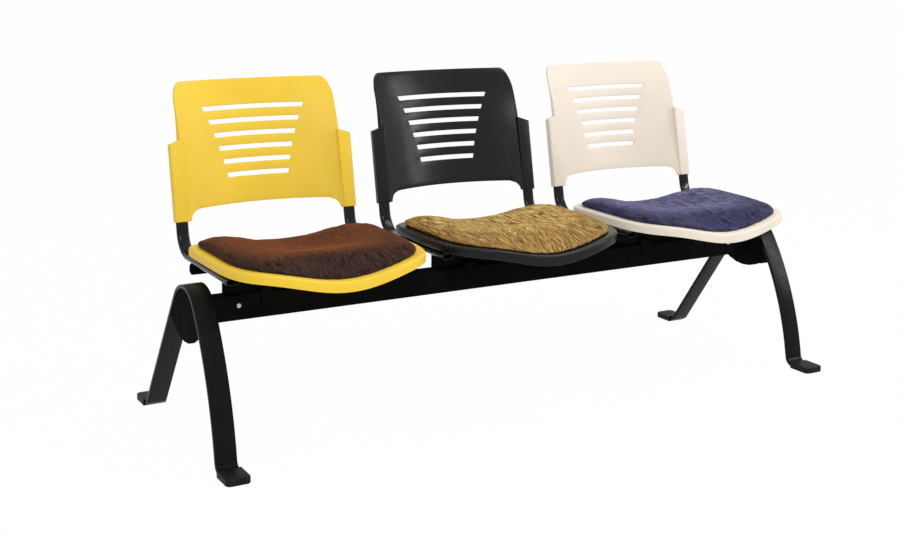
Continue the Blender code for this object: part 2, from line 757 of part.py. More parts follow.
def upright_rings(section, x, low, high, slant):
    """A section carried up the line of an upright. Its top slants in towards the seat."""
    heading = math.pi / 2 - UPRIGHT_LEAN
    stations = [(upright_y(z), z, heading) for z in (low, high)]
    rings = swept_rings(stations, section, x)
    inward = -math.copysign(1.0, x)
    rise = [slant * inward * a for a, _ in section]
    rings[1] = [(px, py + r * math.tan(UPRIGHT_LEAN), pz + r) for (px, py, pz), r in zip(rings[1], rise)]
    return rings


def shifted(rings, x):
    return [[(px + x, py, pz) for px, py, pz in ring] for ring in rings]


def backrest(name, x, finish_name):
    """Panel and side sleeves in one moulding.

    Each sleeve has a pocket for its upright and a screw hole behind.
    """
    shell = back_panel(name + "_backrest_shell", x, finish_name)
    half_width = TUBE_WIDTH / 2 + FIT_GAP + SLEEVE_WALL
    half_depth = TUBE_DEPTH / 2 + FIT_GAP + SLEEVE_WALL
    section = rounded_rectangle(half_width, half_depth, SLEEVE_CORNER)
    bore = flat_oval(TUBE_WIDTH / 2 + FIT_GAP, TUBE_DEPTH / 2 + FIT_GAP)
    for side, word in ((-1, "left"), (1, "right")):
        local = side * TUBE_SPREAD
        outside = upright_rings(section, local, SLEEVE_BOTTOM, SLEEVE_TOP, SLEEVE_SLANT)
        combine(shell, ring_solid(f"{name}_sleeve_{word}", shifted(outside, x)), "UNION")
    for side, word in ((-1, "left"), (1, "right")):
        local = side * TUBE_SPREAD
        inside = upright_rings(bore, local, SLEEVE_BOTTOM - HOOK_RADIUS, UPRIGHT_TOP + FIT_GAP, 0.0)
        combine(shell, ring_solid(f"{name}_pocket_{word}", shifted(inside, x)), "DIFFERENCE")
        place, forward = sleeve_screw(x + local)
        start = place - forward * DRILL_MARGIN
        depth = FIT_GAP + SLEEVE_WALL + 2 * DRILL_MARGIN
        drill(shell, f"{name}_screw_hole_{word}", SCREW_RADIUS + FIT_GAP, start, forward, depth)
        headed_screw(f"{name}_backrest_screw_{word}", SCREW, place, forward, SLEEVE_SCREW_DEPTH)


# Seat pan and pad


def seat_outline(share):
    """Plan points of the seat outline, drawn in to a share of its full size, or its one middle point."""
    if share == 0.0:
        return [(0.0, 0.0)]
    points = []
    for k in range(OUTLINE_STEPS):
        even = math.tau * k / OUTLINE_STEPS
        turn = even + CORNER_CROWDING * math.sin(4 * even) / 4
        c, s = math.cos(turn), math.sin(turn)
        squareness = PAN_FRONT_SQUARENESS if s < 0 else PAN_REAR_SQUARENESS
        reach = (abs(c) ** squareness + abs(s) ** squareness) ** (-1 / squareness)
        a, b = reach * c, reach * s
        bow = 1 - a * a
        length = PAN_FRONT + PAN_FRONT_BOW * bow if b < 0 else PAN_REAR + PAN_REAR_BOW * bow
        points.append((share * a * PAN_HALF, share * b * length))
    return points


def inset_share(inset):
    return 1 - inset / PAN_HALF


def rim_level(x, y):
    """Height of the seat's rim surface: level at the sides, with a trough that deepens at the front."""
    forward = max(0.0, -y - FRONT_TROUGH_START) / (PAN_FRONT + PAN_FRONT_BOW - FRONT_TROUGH_START)
    across = min(abs(x) / TUBE_INNER_SIDE, 1.0)
    depth = SEAT_TROUGH + (FRONT_TROUGH - SEAT_TROUGH) * forward ** 2
    return SEAT_HEIGHT - depth * (1 + math.cos(math.pi * across)) / 2


def dish(share):
    lip = inset_share(PAN_LIP)
    return PAN_DISH * (1 - min(share / lip, 1.0) ** 2) ** 2


def seat_ring(x, share, level):
    """A ring of the seat outline, with its height from a function of the local point."""
    ring = []
    for a, b in seat_outline(share):
        ring.append((x + a, SEAT_Y + b, level(a, b)))
    return ring


def seat_pan(name, x, finish_name):
    """The dished shell with a rim hanging all round, standing on four bosses over the frame tubes."""
    def surface(share, drop=0.0):
        return seat_ring(x, share, lambda a, b: rim_level(a, b) - dish(share) - drop)

    wall = inset_share(PAN_SHELL)
    rings = [surface(share) for share in DISH_SHARES]
    rings += [surface(inset_share(inset)) for inset in (BOARD_INSET, PAN_LIP, SEAM_INSET, PAN_ROUND)]
    rings.append(surface(inset_share(PAN_ROUND * ROUND_CORNER), PAN_ROUND * ROUND_CORNER))
    rings.append(surface(1.0, PAN_ROUND))
    rings.append(surface(1.0, PAN_SKIRT))
    rings.append(surface(wall, PAN_SKIRT))
    rings.append(surface(wall, PAN_SHELL))
    rings.append(surface(inset_share(PAN_LIP), PAN_SHELL))
    rings += [surface(share, PAN_SHELL) for share in reversed(DISH_SHARES)]
    pan = ring_solid(name + "_seat_pan", rings, finish_name)
    foot = TUBE_LEVEL + TUBE_DEPTH / 2 + FIT_GAP
    profile = ((BOSS_RADIUS, 0.0), (BOSS_RADIUS, SEAT_HEIGHT - PAN_SHELL / 2 - foot))
    for side, word in ((-1, "left"), (1, "right")):
        for k, back in enumerate(BOSS_PLACES):
            place = (x + side * TUBE_SPREAD, SEAT_Y + back, foot)
            combine(pan, turned(f"{name}_boss_{word}_{k}", profile, place, (0, 0, 1)), "UNION")


def cushion_board(name, x):
    """The stiff board in the pad, moulded to the pan's dish."""
    edge = inset_share(BOARD_INSET)

    def layer(share, lift):
        return seat_ring(x, share, lambda a, b: rim_level(a, b) - dish(share) + FIT_GAP + lift)

    rings = [layer(share, BOARD_THICK) for share in (*DISH_SHARES, edge)]
    rings += [layer(share, 0.0) for share in (edge, *reversed(DISH_SHARES))]
    return ring_solid(name + "_cushion_board", rings, "board")


def pad_height(x, y, share):
    """Height of the pad over its edge: raised at the sides and behind the front, rolled down all round."""
    across = min(abs(x) / CUSHION_HUMP, 1.0)
    crown = CUSHION_MIDDLE + (CUSHION_SIDE - CUSHION_MIDDLE) * math.sin(math.pi / 2 * across) ** 2
    crown += PAD_SWELL * math.exp(-((y + PAD_SWELL_FRONT) / PAD_SWELL_SPREAD) ** 2)
    forward = min(max(-y / PAN_FRONT, 0.0), 1.0)
    roll = PAD_REAR_ROLL + (PAD_FRONT_ROLL - PAD_REAR_ROLL) * forward
    return crown * math.sqrt(1 - share ** roll)


def seat_cushion(name, x, finish_name):
    """The foam pad in its cover: crowned, rolled at its edges, drawn in at the seam, hollow underneath."""
    full = inset_share(CUSHION_INSET)
    seam = inset_share(SEAM_INSET)
    foot = inset_share(PAN_LIP)
    pocket = inset_share(BOARD_INSET - FIT_GAP)

    def top(share):
        def level(a, b):
            return rim_level(a, b) + CUSHION_BULGE + pad_height(a, b, share)

        return seat_ring(x, share * full, level)

    def under(share, lift):
        return seat_ring(x, share, lambda a, b: rim_level(a, b) - dish(share) + FIT_GAP + lift)

    rings = [top(share) for share in PAD_SHARES]
    rings.append(seat_ring(x, seam, lambda a, b: rim_level(a, b) + FIT_GAP))
    rings.append(under(foot, 0.0))
    rings.append(under(pocket, 0.0))
    rings.append(under(pocket, BOARD_THICK + FIT_GAP))
    rings += [under(share, BOARD_THICK + FIT_GAP) for share in reversed(DISH_SHARES)]
    return ring_solid(name + "_seat_cushion", rings, finish_name)


def seat(index, name):
    x = seat_x(index)
    backrest(name, x, name + "_plastic")
    seat_pan(name, x, name + "_plastic")
    cushion_board(name, x)
    seat_cushion(name, x, name + "_fabric")
    front, rear = name + "_front_cross_bar", name + "_rear_cross_bar"
    cross_bar(front, x, BEAM_Y, FRONT_BAR_TOP, FRONT_BAR_HEIGHT, FRONT_BAR_HALF, 0.0)
    back = BEAM_Y + REAR_BAR_BACK
    cross_bar(rear, x, back, REAR_BAR_TOP, REAR_BAR_HEIGHT, REAR_BAR_HALF, BAR_DEPTH / 2)
    for side, word in ((-1, "left"), (1, "right")):
        frame_tube(f"{name}_frame_tube_{word}", x + side * TUBE_SPREAD)
        saddle(f"{name}_saddle_{word}", x + side * SADDLE_SPREAD)


def main():
    clear_scene()
    beam()
    for side, name in ((-1, "left"), (1, "right")):
        leg(name, side)
        spigot(name, side)
    for index, name in enumerate(SEAT_NAMES):
        seat(index, name)


main()
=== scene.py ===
"""Looks for the three-seat beam bench: rounded shells and tubes, simulated pads, finishes and light."""

import math

import bmesh
import bpy
from mathutils import Matrix, Vector

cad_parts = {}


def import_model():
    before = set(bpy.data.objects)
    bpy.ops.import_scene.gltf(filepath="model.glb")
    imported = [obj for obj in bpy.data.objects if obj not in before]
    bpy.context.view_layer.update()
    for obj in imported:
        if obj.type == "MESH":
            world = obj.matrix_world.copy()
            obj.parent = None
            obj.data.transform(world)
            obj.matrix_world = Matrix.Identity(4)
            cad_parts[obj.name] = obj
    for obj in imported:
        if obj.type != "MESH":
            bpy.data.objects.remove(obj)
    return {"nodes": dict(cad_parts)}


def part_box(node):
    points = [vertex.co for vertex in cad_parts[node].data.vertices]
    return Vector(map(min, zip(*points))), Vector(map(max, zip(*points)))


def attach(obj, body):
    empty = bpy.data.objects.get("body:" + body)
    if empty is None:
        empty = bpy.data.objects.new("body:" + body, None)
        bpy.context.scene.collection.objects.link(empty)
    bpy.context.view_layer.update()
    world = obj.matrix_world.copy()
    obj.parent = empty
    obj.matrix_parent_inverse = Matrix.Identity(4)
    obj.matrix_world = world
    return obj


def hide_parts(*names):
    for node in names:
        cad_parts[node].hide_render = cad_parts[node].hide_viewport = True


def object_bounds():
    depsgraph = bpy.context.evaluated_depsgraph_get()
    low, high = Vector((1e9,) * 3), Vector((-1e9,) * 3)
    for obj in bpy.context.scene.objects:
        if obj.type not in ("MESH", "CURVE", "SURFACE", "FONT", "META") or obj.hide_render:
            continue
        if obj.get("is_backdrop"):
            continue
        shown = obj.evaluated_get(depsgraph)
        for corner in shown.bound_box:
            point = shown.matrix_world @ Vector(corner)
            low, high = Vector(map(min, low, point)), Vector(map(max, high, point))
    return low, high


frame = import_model()
cad_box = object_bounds()

SEAT_NAMES = ("left", "middle", "right")
SIDES = ((-1, "left"), (1, "right"))

# Photograph's camera, in the frame of the part
IMAGE_WIDTH = 900
CAMERA_PLACE = Vector((-1.7860, -2.9349, 1.1308))
CAMERA_YAW = math.radians(29.43808)
CAMERA_PITCH = math.radians(8.0)
CAMERA_ROLL = math.radians(0.42813)
FOCAL_PIXELS = 1372.36
SENSOR_WIDTH = 36.0
FRAME_SHIFT = -0.1457
CAMERA_REACH = 200.0

# Sizes shared with the solids
FIT_GAP = 0.0003
SEAT_PITCH = 0.540
SEAT_HEIGHT = 0.430
LEG_OFFSET = SEAT_PITCH + 0.2735
TUBE_SPREAD = 0.220

# Leg bars and shoes
LEG_WIDTH = 0.050
LEG_THICK = 0.009
LEG_ROUND = 0.0018
LEG_HEIGHT = 0.373
LEG_REAR_LEAN = math.radians(35.9)
LEG_TOP_RADIUS = 0.080
LEG_FRONT_TOP_LEAN = math.radians(35.0)
LEG_FRONT_FOOT_LEAN = math.radians(9.0)
LEG_FOOT_RADIUS = 0.020
LEG_FOOT_LENGTH = 0.060
SHOE_WALL = 0.003
SHOE_BASE = 0.0028
SHOE_TOP = 0.0026
SHOE_TOE_RADIUS = 0.012
SHOE_EDGE = 0.002
FOOT_LEVEL = SHOE_BASE + FIT_GAP + LEG_THICK / 2
SHOE_HEIGHT = SHOE_BASE + LEG_THICK + 2 * FIT_GAP + SHOE_TOP

# Frame tubes
TUBE_WIDTH = 0.030
TUBE_DEPTH = 0.015
TUBE_WALL = 0.0018
TUBE_LEVEL = 0.394
TUBE_BEND = 0.060
TUBE_FRONT = 0.105
TUBE_INNER_SIDE = TUBE_SPREAD - TUBE_WIDTH / 2
UPRIGHT_BACK = 0.2216
UPRIGHT_TOP = 0.638
UPRIGHT_LEAN = math.radians(10.9)

# Backrest
BACK_HALF = 0.2085
BACK_TOP = 0.7935
BACK_BOTTOM = 0.492
BACK_LEAN = math.radians(13.5)
BACK_CURVE = 0.425
BACK_CORNER_WIDTH = 0.024
BACK_CORNER_HEIGHT = 0.060
BACK_THICK = 0.0048
BACK_FLARE = 0.030
BACK_WIDEN = 0.003
BACK_FLARE_START = 0.630
SIDE_RIM_WIDTH = 0.010
SIDE_RIM_DEPTH = 0.008
SLEEVE_WALL = 0.0027
SLEEVE_BOTTOM = 0.466
SLEEVE_TOP = 0.656
SLEEVE_SLANT = 0.34
SLEEVE_CORNER = 0.005
SLEEVE_ROUND = 0.0015
HOOK_RADIUS = 0.026
HOOK_INSET = 0.006
SLOT_COUNT = 6
SLOT_TOP = 0.730
SLOT_PITCH = 0.0326
SLOT_HEIGHT = 0.0115
SLOT_HALF = 0.1351
SLOT_TAPER = 0.0151
SLOT_TAPER_EASE = 0.0009
EDGE_ROUND = 0.0030
SMALL_EDGE = 0.35
SIDE_EDGE = 0.40
SCREW_LEVEL = 0.505
SCREW_HOLE = 0.0028

# Seat pan
PAN_HALF = 0.245
PAN_BACK = -0.005
PAN_FRONT = 0.235
PAN_FRONT_BOW = 0.008
PAN_REAR = 0.150
PAN_REAR_BOW = 0.035
PAN_FRONT_SQUARENESS = 3.6
PAN_REAR_SQUARENESS = 12.0
PAN_SHELL = 0.004
PAN_SKIRT = 0.024
PAN_SIDE_SKIRT = 0.020
PAN_SKIRT_EASE = 3
PAN_LIP = 0.025
PAN_DISH = 0.006
SEAT_TROUGH = 0.020
FRONT_TROUGH = 0.028
FRONT_TROUGH_START = 0.045
BOSS_PLACES = (-0.060, 0.100)
BOSS_RADIUS = 0.008
RIM_ROUND = 0.0055
RIM_FOOT_ROUND = 0.0012
PAN_SHARES = (0.0, 0.15, 0.30, 0.45, 0.60, 0.72, 0.82)

# Seat pad: its form, its cloth run, and where the painted shade on its turned-down cover starts, as shares
# of the seat's outline
PAD_INSET = 0.014
PAD_MIDDLE = 0.001
PAD_SIDE = 0.010
PAD_HUMP = 0.170
PAD_BULGE = 0.010
PAD_TUCK = 0.004
PAD_SWELL = 0.027
PAD_SWELL_FRONT = 0.130
PAD_SWELL_SPREAD = 0.090
PAD_REAR_ROLL = 6.0
PAD_FRONT_ROLL = 2.0
PAD_SHARES = (0.0, 0.12, 0.24, 0.36, 0.48, 0.60, 0.70, 0.78, 0.85, 0.90, 0.94, 0.97, 0.99, 1.0)
PAD_UNDER_SHARES = (0.75, 0.5, 0.25, 0.0)
PAD_SLACK = 0.0015
PAD_VOXEL = 0.005
PAD_FRAMES = 20
PAD_PRESSURE = 4.0
PAD_CAP = 0.004
PAD_RELAX = 4
PAD_WALL = 0.034
# Where the cover's painted shade starts at the sides and at the front, and how wide it blends in
SHADE_START_SIDE = 0.70
SHADE_START_FRONT = 0.29
SHADE_BLEND_WIDTH = 0.19

# Light: the lamps' names, places, sizes and powers
LAMPS = (
    ("key", (-1.6, -2.6, 2.6), (1.5, 1.0), 46.0),
    ("fill", (2.8, -1.8, 1.8), (0.45, 1.3), 28.0),
    ("top", (1.2, -0.5, 3.0), (1.8, 0.7), 20.0),
)
LAMP_TARGET = Vector((0.0, 0.0, 0.4))
WORLD_FILL = 0.50
FLOOR_HALF = 60.0
FLOOR_TONE = 0.9
FLOOR_ROUGHNESS = 0.9
FLOOR_WHITENESS = 0.985

# Finishes: noise scales per metre, tones as (place in the noise, factor), bumps as (strength, height)
PLASTIC_CLOUDS = 9.0
PLASTIC_TONES = ((0.35, 0.97), (0.65, 1.02))
PLASTIC_SCUFFS = 30.0
PLASTIC_SCUFF_STRETCH = (1.0, 1.0, 0.25)
PLASTIC_DRIFT = (-0.05, 0.07)
PLASTIC_GRAIN = 1400.0
PLASTIC_BUMP = (0.10, 0.0002)
PLASTIC_IOR = 1.49
WORN_EDGE = (0.52, 0.60)
WORN_SHARE = 0.35
WORN_LIFT = 0.01
WORN_FACTOR = 1.05
COAT_CLOUDS = 14.0
COAT_TONES = ((0.30, 0.75), (0.72, 1.3))
COAT_RUBS = 22.0
COAT_RUB_STRETCH = (0.4, 1.0, 1.0)
COAT_DRIFT = (-0.06, 0.08)
COAT_WAVES = 420.0
COAT_WAVE_HEIGHT = 0.0004
COAT_PITS = 1700.0
COAT_PIT_HEIGHT = 0.0001
COAT_PIT_SHARE = 0.5
COAT_IOR = 1.5
GLIDE_CLOUDS = 40.0
GLIDE_TONES = ((0.3, 0.006), (0.7, 0.012))
GLIDE_ROUGHNESS = (0.46, 0.60)
GLIDE_GRAIN = 900.0
GLIDE_BUMP = (0.35, 0.0003)
GLIDE_IOR = 1.5
GLIDE_SPECULAR = 0.1
ZINC_SPANGLE = 500.0
ZINC_TONES = ((0.3, (0.42, 0.42, 0.43)), (0.7, (0.62, 0.62, 0.62)))
ZINC_TURNING = 60.0
ZINC_TURNING_STRETCH = (1.0, 40.0, 40.0)
ZINC_ROUGHNESS = (0.22, 0.40)
ZINC_BUMP = (0.1, 0.0001)

# Cloth: yarns as (scale across, scale along, detail)
YARN_DRIFT = 7.0
YARN_LEAN = 0.03
BROAD_YARN = (230.0, 19.0, 2.0)
BROAD_SHARE = 0.6
FINE_YARN = (560.0, 50.0, 1.0)
YARN_ROUGHNESS = 0.6
YARN_STOPS = (0.41, 0.49, 0.59)
YARN_BUMP = (0.75, 0.0016)
# Factors of the darker side tones: the painted shade of the turned-down cover
SIDE_SHADE_FACTORS = (0.4, 1.0, 1.8)
WEFT = (900.0, 1400.0, 1.0)
WEFT_BUMP = (0.35, 0.0004)
CLOTH_ROUGHNESS = (0.80, 0.97)
CLOTH_SPECULAR = 0.03
NAP_GLEAM = 0.44
NAP_SPREAD = 0.3

# Mesh steps
OUTLINE_STEPS = 128
CORNER_CROWDING = 0.6
OVAL_STEPS = 36
BEND_STEPS = 24
ARCH_STEPS = 40
FOOT_STEPS = 10
CORNER_STEPS = 6
ROUND_STEPS = 24
SLOT_COLUMNS = 16
RIB_ROWS = 2
PANEL_ROWS = 5
HOOK_ROWS = 5
EDGE_STEPS = 3
SMOOTH_ANGLE = math.radians(38.0)

beam_low, beam_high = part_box("beam")
BEAM_Y = (beam_low.y + beam_high.y) / 2
SEAT_Y = BEAM_Y + PAN_BACK


# Node helpers


class Nodes:
    """Builds a material's node tree from short calls."""

    def __init__(self, name):
        self.material = bpy.data.materials.new(name)
        self.material.use_nodes = True
        self.tree = self.material.node_tree
        self.shader = self.tree.nodes["Principled BSDF"]

    def add(self, kind):
        return self.tree.nodes.new(kind)

    def link(self, output, target):
        self.tree.links.new(output, target)

    def place(self, scale, vector=None, shift=0.0):
        """Coordinates stretched by scale along x, y and z: the object's own ones if no vector is given."""
        if vector is None:
            vector = self.add("ShaderNodeTexCoord").outputs["Object"]
        mapping = self.add("ShaderNodeMapping")
        mapping.inputs["Scale"].default_value = scale
        mapping.inputs["Location"].default_value = (shift, shift, 0.0)
        self.link(vector, mapping.inputs["Vector"])
        return mapping.outputs["Vector"]

    def noise(self, scale, vector=None, detail=2.0, roughness=0.5):
        node = self.add("ShaderNodeTexNoise")
        node.inputs["Scale"].default_value = scale
        node.inputs["Detail"].default_value = detail
        node.inputs["Roughness"].default_value = roughness
        if vector is None:
            vector = self.place((1.0, 1.0, 1.0))
        self.link(vector, node.inputs["Vector"])
        return node.outputs["Fac"]

    def ramp(self, value, stops):
        node = self.add("ShaderNodeValToRGB")
        line = node.color_ramp
        while len(line.elements) < len(stops):
            line.elements.new(0.5)
        for element, (place, colour) in zip(line.elements, stops):
            element.position = place
            element.color = (*colour, 1.0)
        self.link(value, node.inputs["Fac"])
        return node.outputs["Color"]

    def range(self, value, low, high, from_low=0.3, from_high=0.7):
        node = self.add("ShaderNodeMapRange")
        node.inputs["From Min"].default_value = from_low
        node.inputs["From Max"].default_value = from_high
        node.inputs["To Min"].default_value = low
        node.inputs["To Max"].default_value = high
        self.link(value, node.inputs["Value"])
        return node.outputs["Result"]

    def mix(self, factor, first, second):
        node = self.add("ShaderNodeMix")
        node.data_type = "RGBA"
        self.link(factor, node.inputs["Factor"])
        for value, socket in ((first, node.inputs[6]), (second, node.inputs[7])):
            if isinstance(value, tuple):
                socket.default_value = (*value, 1.0)
            else:
                self.link(value, socket)
        return node.outputs[2]

    def math(self, operation, first, second):
        node = self.add("ShaderNodeMath")
        node.operation = operation
        for value, socket in ((first, node.inputs[0]), (second, node.inputs[1])):
            if isinstance(value, (int, float)):
                socket.default_value = value
            else:
                self.link(value, socket)
        return node.outputs["Value"]

    def split(self, vector):
        node = self.add("ShaderNodeSeparateXYZ")
        self.link(vector, node.inputs["Vector"])
        return node.outputs

    def bump(self, height, strength, distance, below=None):
        node = self.add("ShaderNodeBump")
        node.inputs["Strength"].default_value = strength
        node.inputs["Distance"].default_value = distance
        self.link(height, node.inputs["Height"])
        if below is not None:
            self.link(below, node.inputs["Normal"])
        return node.outputs["Normal"]

    def finish(self, colour, roughness, normal, **constants):
        for value, name in ((colour, "Base Color"), (roughness, "Roughness"), (normal, "Normal")):
            self.link(value, self.shader.inputs[name])
        for name, value in constants.items():
            self.shader.inputs[name.replace("_", " ")].default_value = value
        return self.material


def linear(red, green, blue):
    """A colour given as 0 to 255 screen values, as the light values that shaders use."""
    values = []
    for value in (red, green, blue):
        share = value / 255
        values.append(share / 12.92 if share <= 0.04045 else ((share + 0.055) / 1.055) ** 2.4)
    return tuple(values)


def shade(colour, factor):
    return tuple(min(1.0, value * factor) for value in colour)


def shades(colour, tones):
    """Ramp stops from (place, factor) pairs: the colour made darker or paler by each factor."""
    return [(place, shade(colour, factor)) for place, factor in tones]


# Materials


def moulded_plastic(name, colour, roughness, specular):
    """Satin moulded plastic: faint flow clouding, a fine spark texture, scuffs and slightly paler edges."""
    nodes = Nodes(name)
    clouds = nodes.noise(PLASTIC_CLOUDS, detail=3.0)
    tone = nodes.ramp(clouds, shades(colour, PLASTIC_TONES))
    wear = nodes.add("ShaderNodeNewGeometry").outputs["Pointiness"]
    edge = nodes.range(wear, 0.0, WORN_SHARE, *WORN_EDGE)
    worn = shade(tuple(value + WORN_LIFT for value in colour), WORN_FACTOR)
    tone = nodes.mix(edge, tone, worn)
    grain = nodes.noise(PLASTIC_GRAIN, detail=1.0)
    scuffs = nodes.noise(PLASTIC_SCUFFS, nodes.place(PLASTIC_SCUFF_STRETCH), detail=5.0, roughness=0.65)
    gloss = nodes.range(scuffs, *(roughness + drift for drift in PLASTIC_DRIFT))
    normal = nodes.bump(grain, *PLASTIC_BUMP)
    return nodes.finish(tone, gloss, normal, IOR=PLASTIC_IOR, Specular_IOR_Level=specular)


def powder_coat(name, colour, roughness, peel, specular):
    """Black powder coat: a slightly uneven tone, orange-peel waves, fine pits and a few rubbed patches."""
    nodes = Nodes(name)
    clouds = nodes.noise(COAT_CLOUDS, detail=4.0, roughness=0.6)
    tone = nodes.ramp(clouds, shades(colour, COAT_TONES))
    waves = nodes.noise(COAT_WAVES, detail=2.0)
    pits = nodes.noise(COAT_PITS, detail=1.0)
    rubbed = nodes.noise(COAT_RUBS, nodes.place(COAT_RUB_STRETCH), detail=5.0, roughness=0.7)
    gloss = nodes.range(rubbed, *(roughness + drift for drift in COAT_DRIFT))
    normal = nodes.bump(pits, peel * COAT_PIT_SHARE, COAT_PIT_HEIGHT)
    normal = nodes.bump(waves, peel, COAT_WAVE_HEIGHT, normal)
    return nodes.finish(tone, gloss, normal, IOR=COAT_IOR, Specular_IOR_Level=specular)


def glide_plastic(name):
    """Dull black plastic with a coarse grain."""
    nodes = Nodes(name)
    clouds = nodes.noise(GLIDE_CLOUDS, detail=3.0)
    tone = nodes.ramp(clouds, shades((1.0, 1.0, 1.0), GLIDE_TONES))
    grain = nodes.noise(GLIDE_GRAIN, detail=2.0)
    gloss = nodes.range(clouds, *GLIDE_ROUGHNESS)
    normal = nodes.bump(grain, *GLIDE_BUMP)
    return nodes.finish(tone, gloss, normal, IOR=GLIDE_IOR, Specular_IOR_Level=GLIDE_SPECULAR)


def zinc(name):
    """Zinc plating: a fine spangle and marks of turning."""
    nodes = Nodes(name)
    spangle = nodes.noise(ZINC_SPANGLE, detail=2.0)
    tone = nodes.ramp(spangle, ZINC_TONES)
    turning = nodes.noise(ZINC_TURNING, nodes.place(ZINC_TURNING_STRETCH), detail=2.0)
    gloss = nodes.range(turning, *ZINC_ROUGHNESS)
    return nodes.finish(tone, gloss, nodes.bump(spangle, *ZINC_BUMP), Metallic=1.0)


def streaked_fabric(name, shift, side_shade_share, pale, main, dark, side, nap):
    """Chenille cloth: streaks of yarn from back to front and down over the edge.

    Its pile gleams in the nap colour when seen flat along it, and where it turns down a painted shade gives
    it the darker side tones. The mesh's cloth attribute lays it out flat: x across the seat, y along the
    yarn, z the share of painted shade, from 0 on top to 1 turned down.
    """
    nodes = Nodes(name)
    attribute = nodes.add("ShaderNodeAttribute")
    attribute.attribute_name = "cloth"
    layout = attribute.outputs["Vector"]
    laid = nodes.split(layout)
    drift = nodes.noise(YARN_DRIFT, nodes.place((1.0, 1.0, 1.0), layout, shift), detail=1.0)
    lean = nodes.math("MULTIPLY", nodes.math("SUBTRACT", drift, 0.5), YARN_LEAN)
    flat = nodes.add("ShaderNodeCombineXYZ")
    nodes.link(nodes.math("ADD", laid["X"], lean), flat.inputs["X"])
    nodes.link(laid["Y"], flat.inputs["Y"])

    def streaks(across, along, detail):
        place = nodes.place((across, along, 1.0), flat.outputs["Vector"], shift)
        return nodes.noise(1.0, place, detail, YARN_ROUGHNESS)

    broad = nodes.math("MULTIPLY", streaks(*BROAD_YARN), BROAD_SHARE)
    fine = nodes.math("MULTIPLY", streaks(*FINE_YARN), 1 - BROAD_SHARE)
    both = nodes.math("ADD", broad, fine)
    tone = nodes.ramp(both, list(zip(YARN_STOPS, (dark, main, pale))))
    # Painted shade: the turned-down sides of the cover take the darker side tones in place of the yarn
    # tones
    turned = nodes.math("MULTIPLY", laid["Z"], side_shade_share)
    sides = nodes.ramp(both, shades(side, zip(YARN_STOPS, SIDE_SHADE_FACTORS)))
    tone = nodes.mix(turned, tone, sides)
    weft = nodes.noise(1.0, nodes.place(WEFT, layout, shift), detail=1.0)
    normal = nodes.bump(weft, *WEFT_BUMP)
    normal = nodes.bump(both, *YARN_BUMP, normal)
    gloss = nodes.range(both, *CLOTH_ROUGHNESS)
    nap_gleam = {"Sheen_Weight": NAP_GLEAM, "Sheen_Roughness": NAP_SPREAD, "Sheen_Tint": (*nap, 1.0)}
    return nodes.finish(tone, gloss, normal, Specular_IOR_Level=CLOTH_SPECULAR, **nap_gleam)


# Plastics: colour, roughness and specular level
PLASTICS = {
    "left": moulded_plastic("yellow_plastic", linear(244, 205, 62), 0.42, 0.25),
    "middle": moulded_plastic("black_plastic", (0.0042, 0.0042, 0.0043), 0.28, 0.22),
    "right": moulded_plastic("cream_plastic", linear(238, 226, 210), 0.44, 0.25),
}

# Fabrics: the tones of the yarns, the painted shade of the turned-down sides and the tone of the nap's
# gleam
RUST = {
    "pale": linear(106, 63, 40),
    "main": linear(76, 48, 35),
    "dark": linear(54, 38, 31),
    "side": linear(52, 39, 36),
    "nap": (1.0, 0.32, 0.10),
}
OCHRE = {
    "pale": linear(240, 206, 132),
    "main": linear(174, 137, 76),
    "dark": linear(26, 17, 14),
    "side": linear(138, 106, 60),
    "nap": (1.0, 0.70, 0.26),
}
VIOLET = {
    "pale": linear(130, 128, 160),
    "main": linear(72, 71, 99),
    "dark": linear(32, 31, 56),
    "side": linear(52, 51, 76),
    "nap": (0.56, 0.55, 1.0),
}
FABRICS = {
    "left": streaked_fabric("rust_fabric", 0.0, 1.0, **RUST),
    "middle": streaked_fabric("ochre_fabric", 3.1, 0.7, **OCHRE),
    "right": streaked_fabric("violet_fabric", 7.3, 0.9, **VIOLET),
}

# Coats: colour, roughness, orange peel and specular level
SATIN_COAT = powder_coat("satin_coat", (0.0042, 0.0042, 0.0044), 0.27, 0.08, 0.09)
MATT_COAT = powder_coat("matt_coat", (0.0062, 0.0062, 0.0064), 0.60, 0.22, 0.004)
GLOSS_COAT = powder_coat("gloss_coat", (0.002, 0.002, 0.0022), 0.13, 0.05, 0.22)
GLIDE = glide_plastic("glide_plastic_finish")
ZINC = zinc("zinc_finish")


# Mesh helpers


def smooth(mesh):
    """Shades a mesh smooth but for its sharp edges."""
    mesh.shade_smooth()
    mesh.set_sharp_from_angle(angle=SMOOTH_ANGLE)
    return mesh


def mesh_of(name, work):
    bmesh.ops.recalc_face_normals(work, faces=work.faces)
    mesh = bpy.data.meshes.new(name)
    work.to_mesh(mesh)
    work.free()
    return smooth(mesh)


def show(name, mesh):
    piece = bpy.data.objects.new(name, mesh)
    bpy.context.scene.collection.objects.link(piece)
    return piece


def ring_work(rings, looped=False):
    """A bmesh that skins rings of equal counts: capped at both ends, or closed on itself when looped.

    A first or last ring of one point closes to a tip.
    """
    work = bmesh.new()
    loops = [[work.verts.new(point) for point in ring] for ring in rings]
    pairs = list(zip(loops, loops[1:]))
    if looped:
        pairs.append((loops[-1], loops[0]))
    for first, second in pairs:
        count = max(len(first), len(second))
        for i in range(count):
            j = (i + 1) % count
            near = [first[i % len(first)], first[j % len(first)]]
            far = [second[j % len(second)], second[i % len(second)]]
            work.faces.new(list(dict.fromkeys(near + far)))
    if not looped:
        for end in (loops[0], loops[-1]):
            if len(end) > 1:
                work.faces.new(end)
    return work


def ring_piece(name, rings, looped=False):
    return show(name, mesh_of(name, ring_work(rings, looped)))


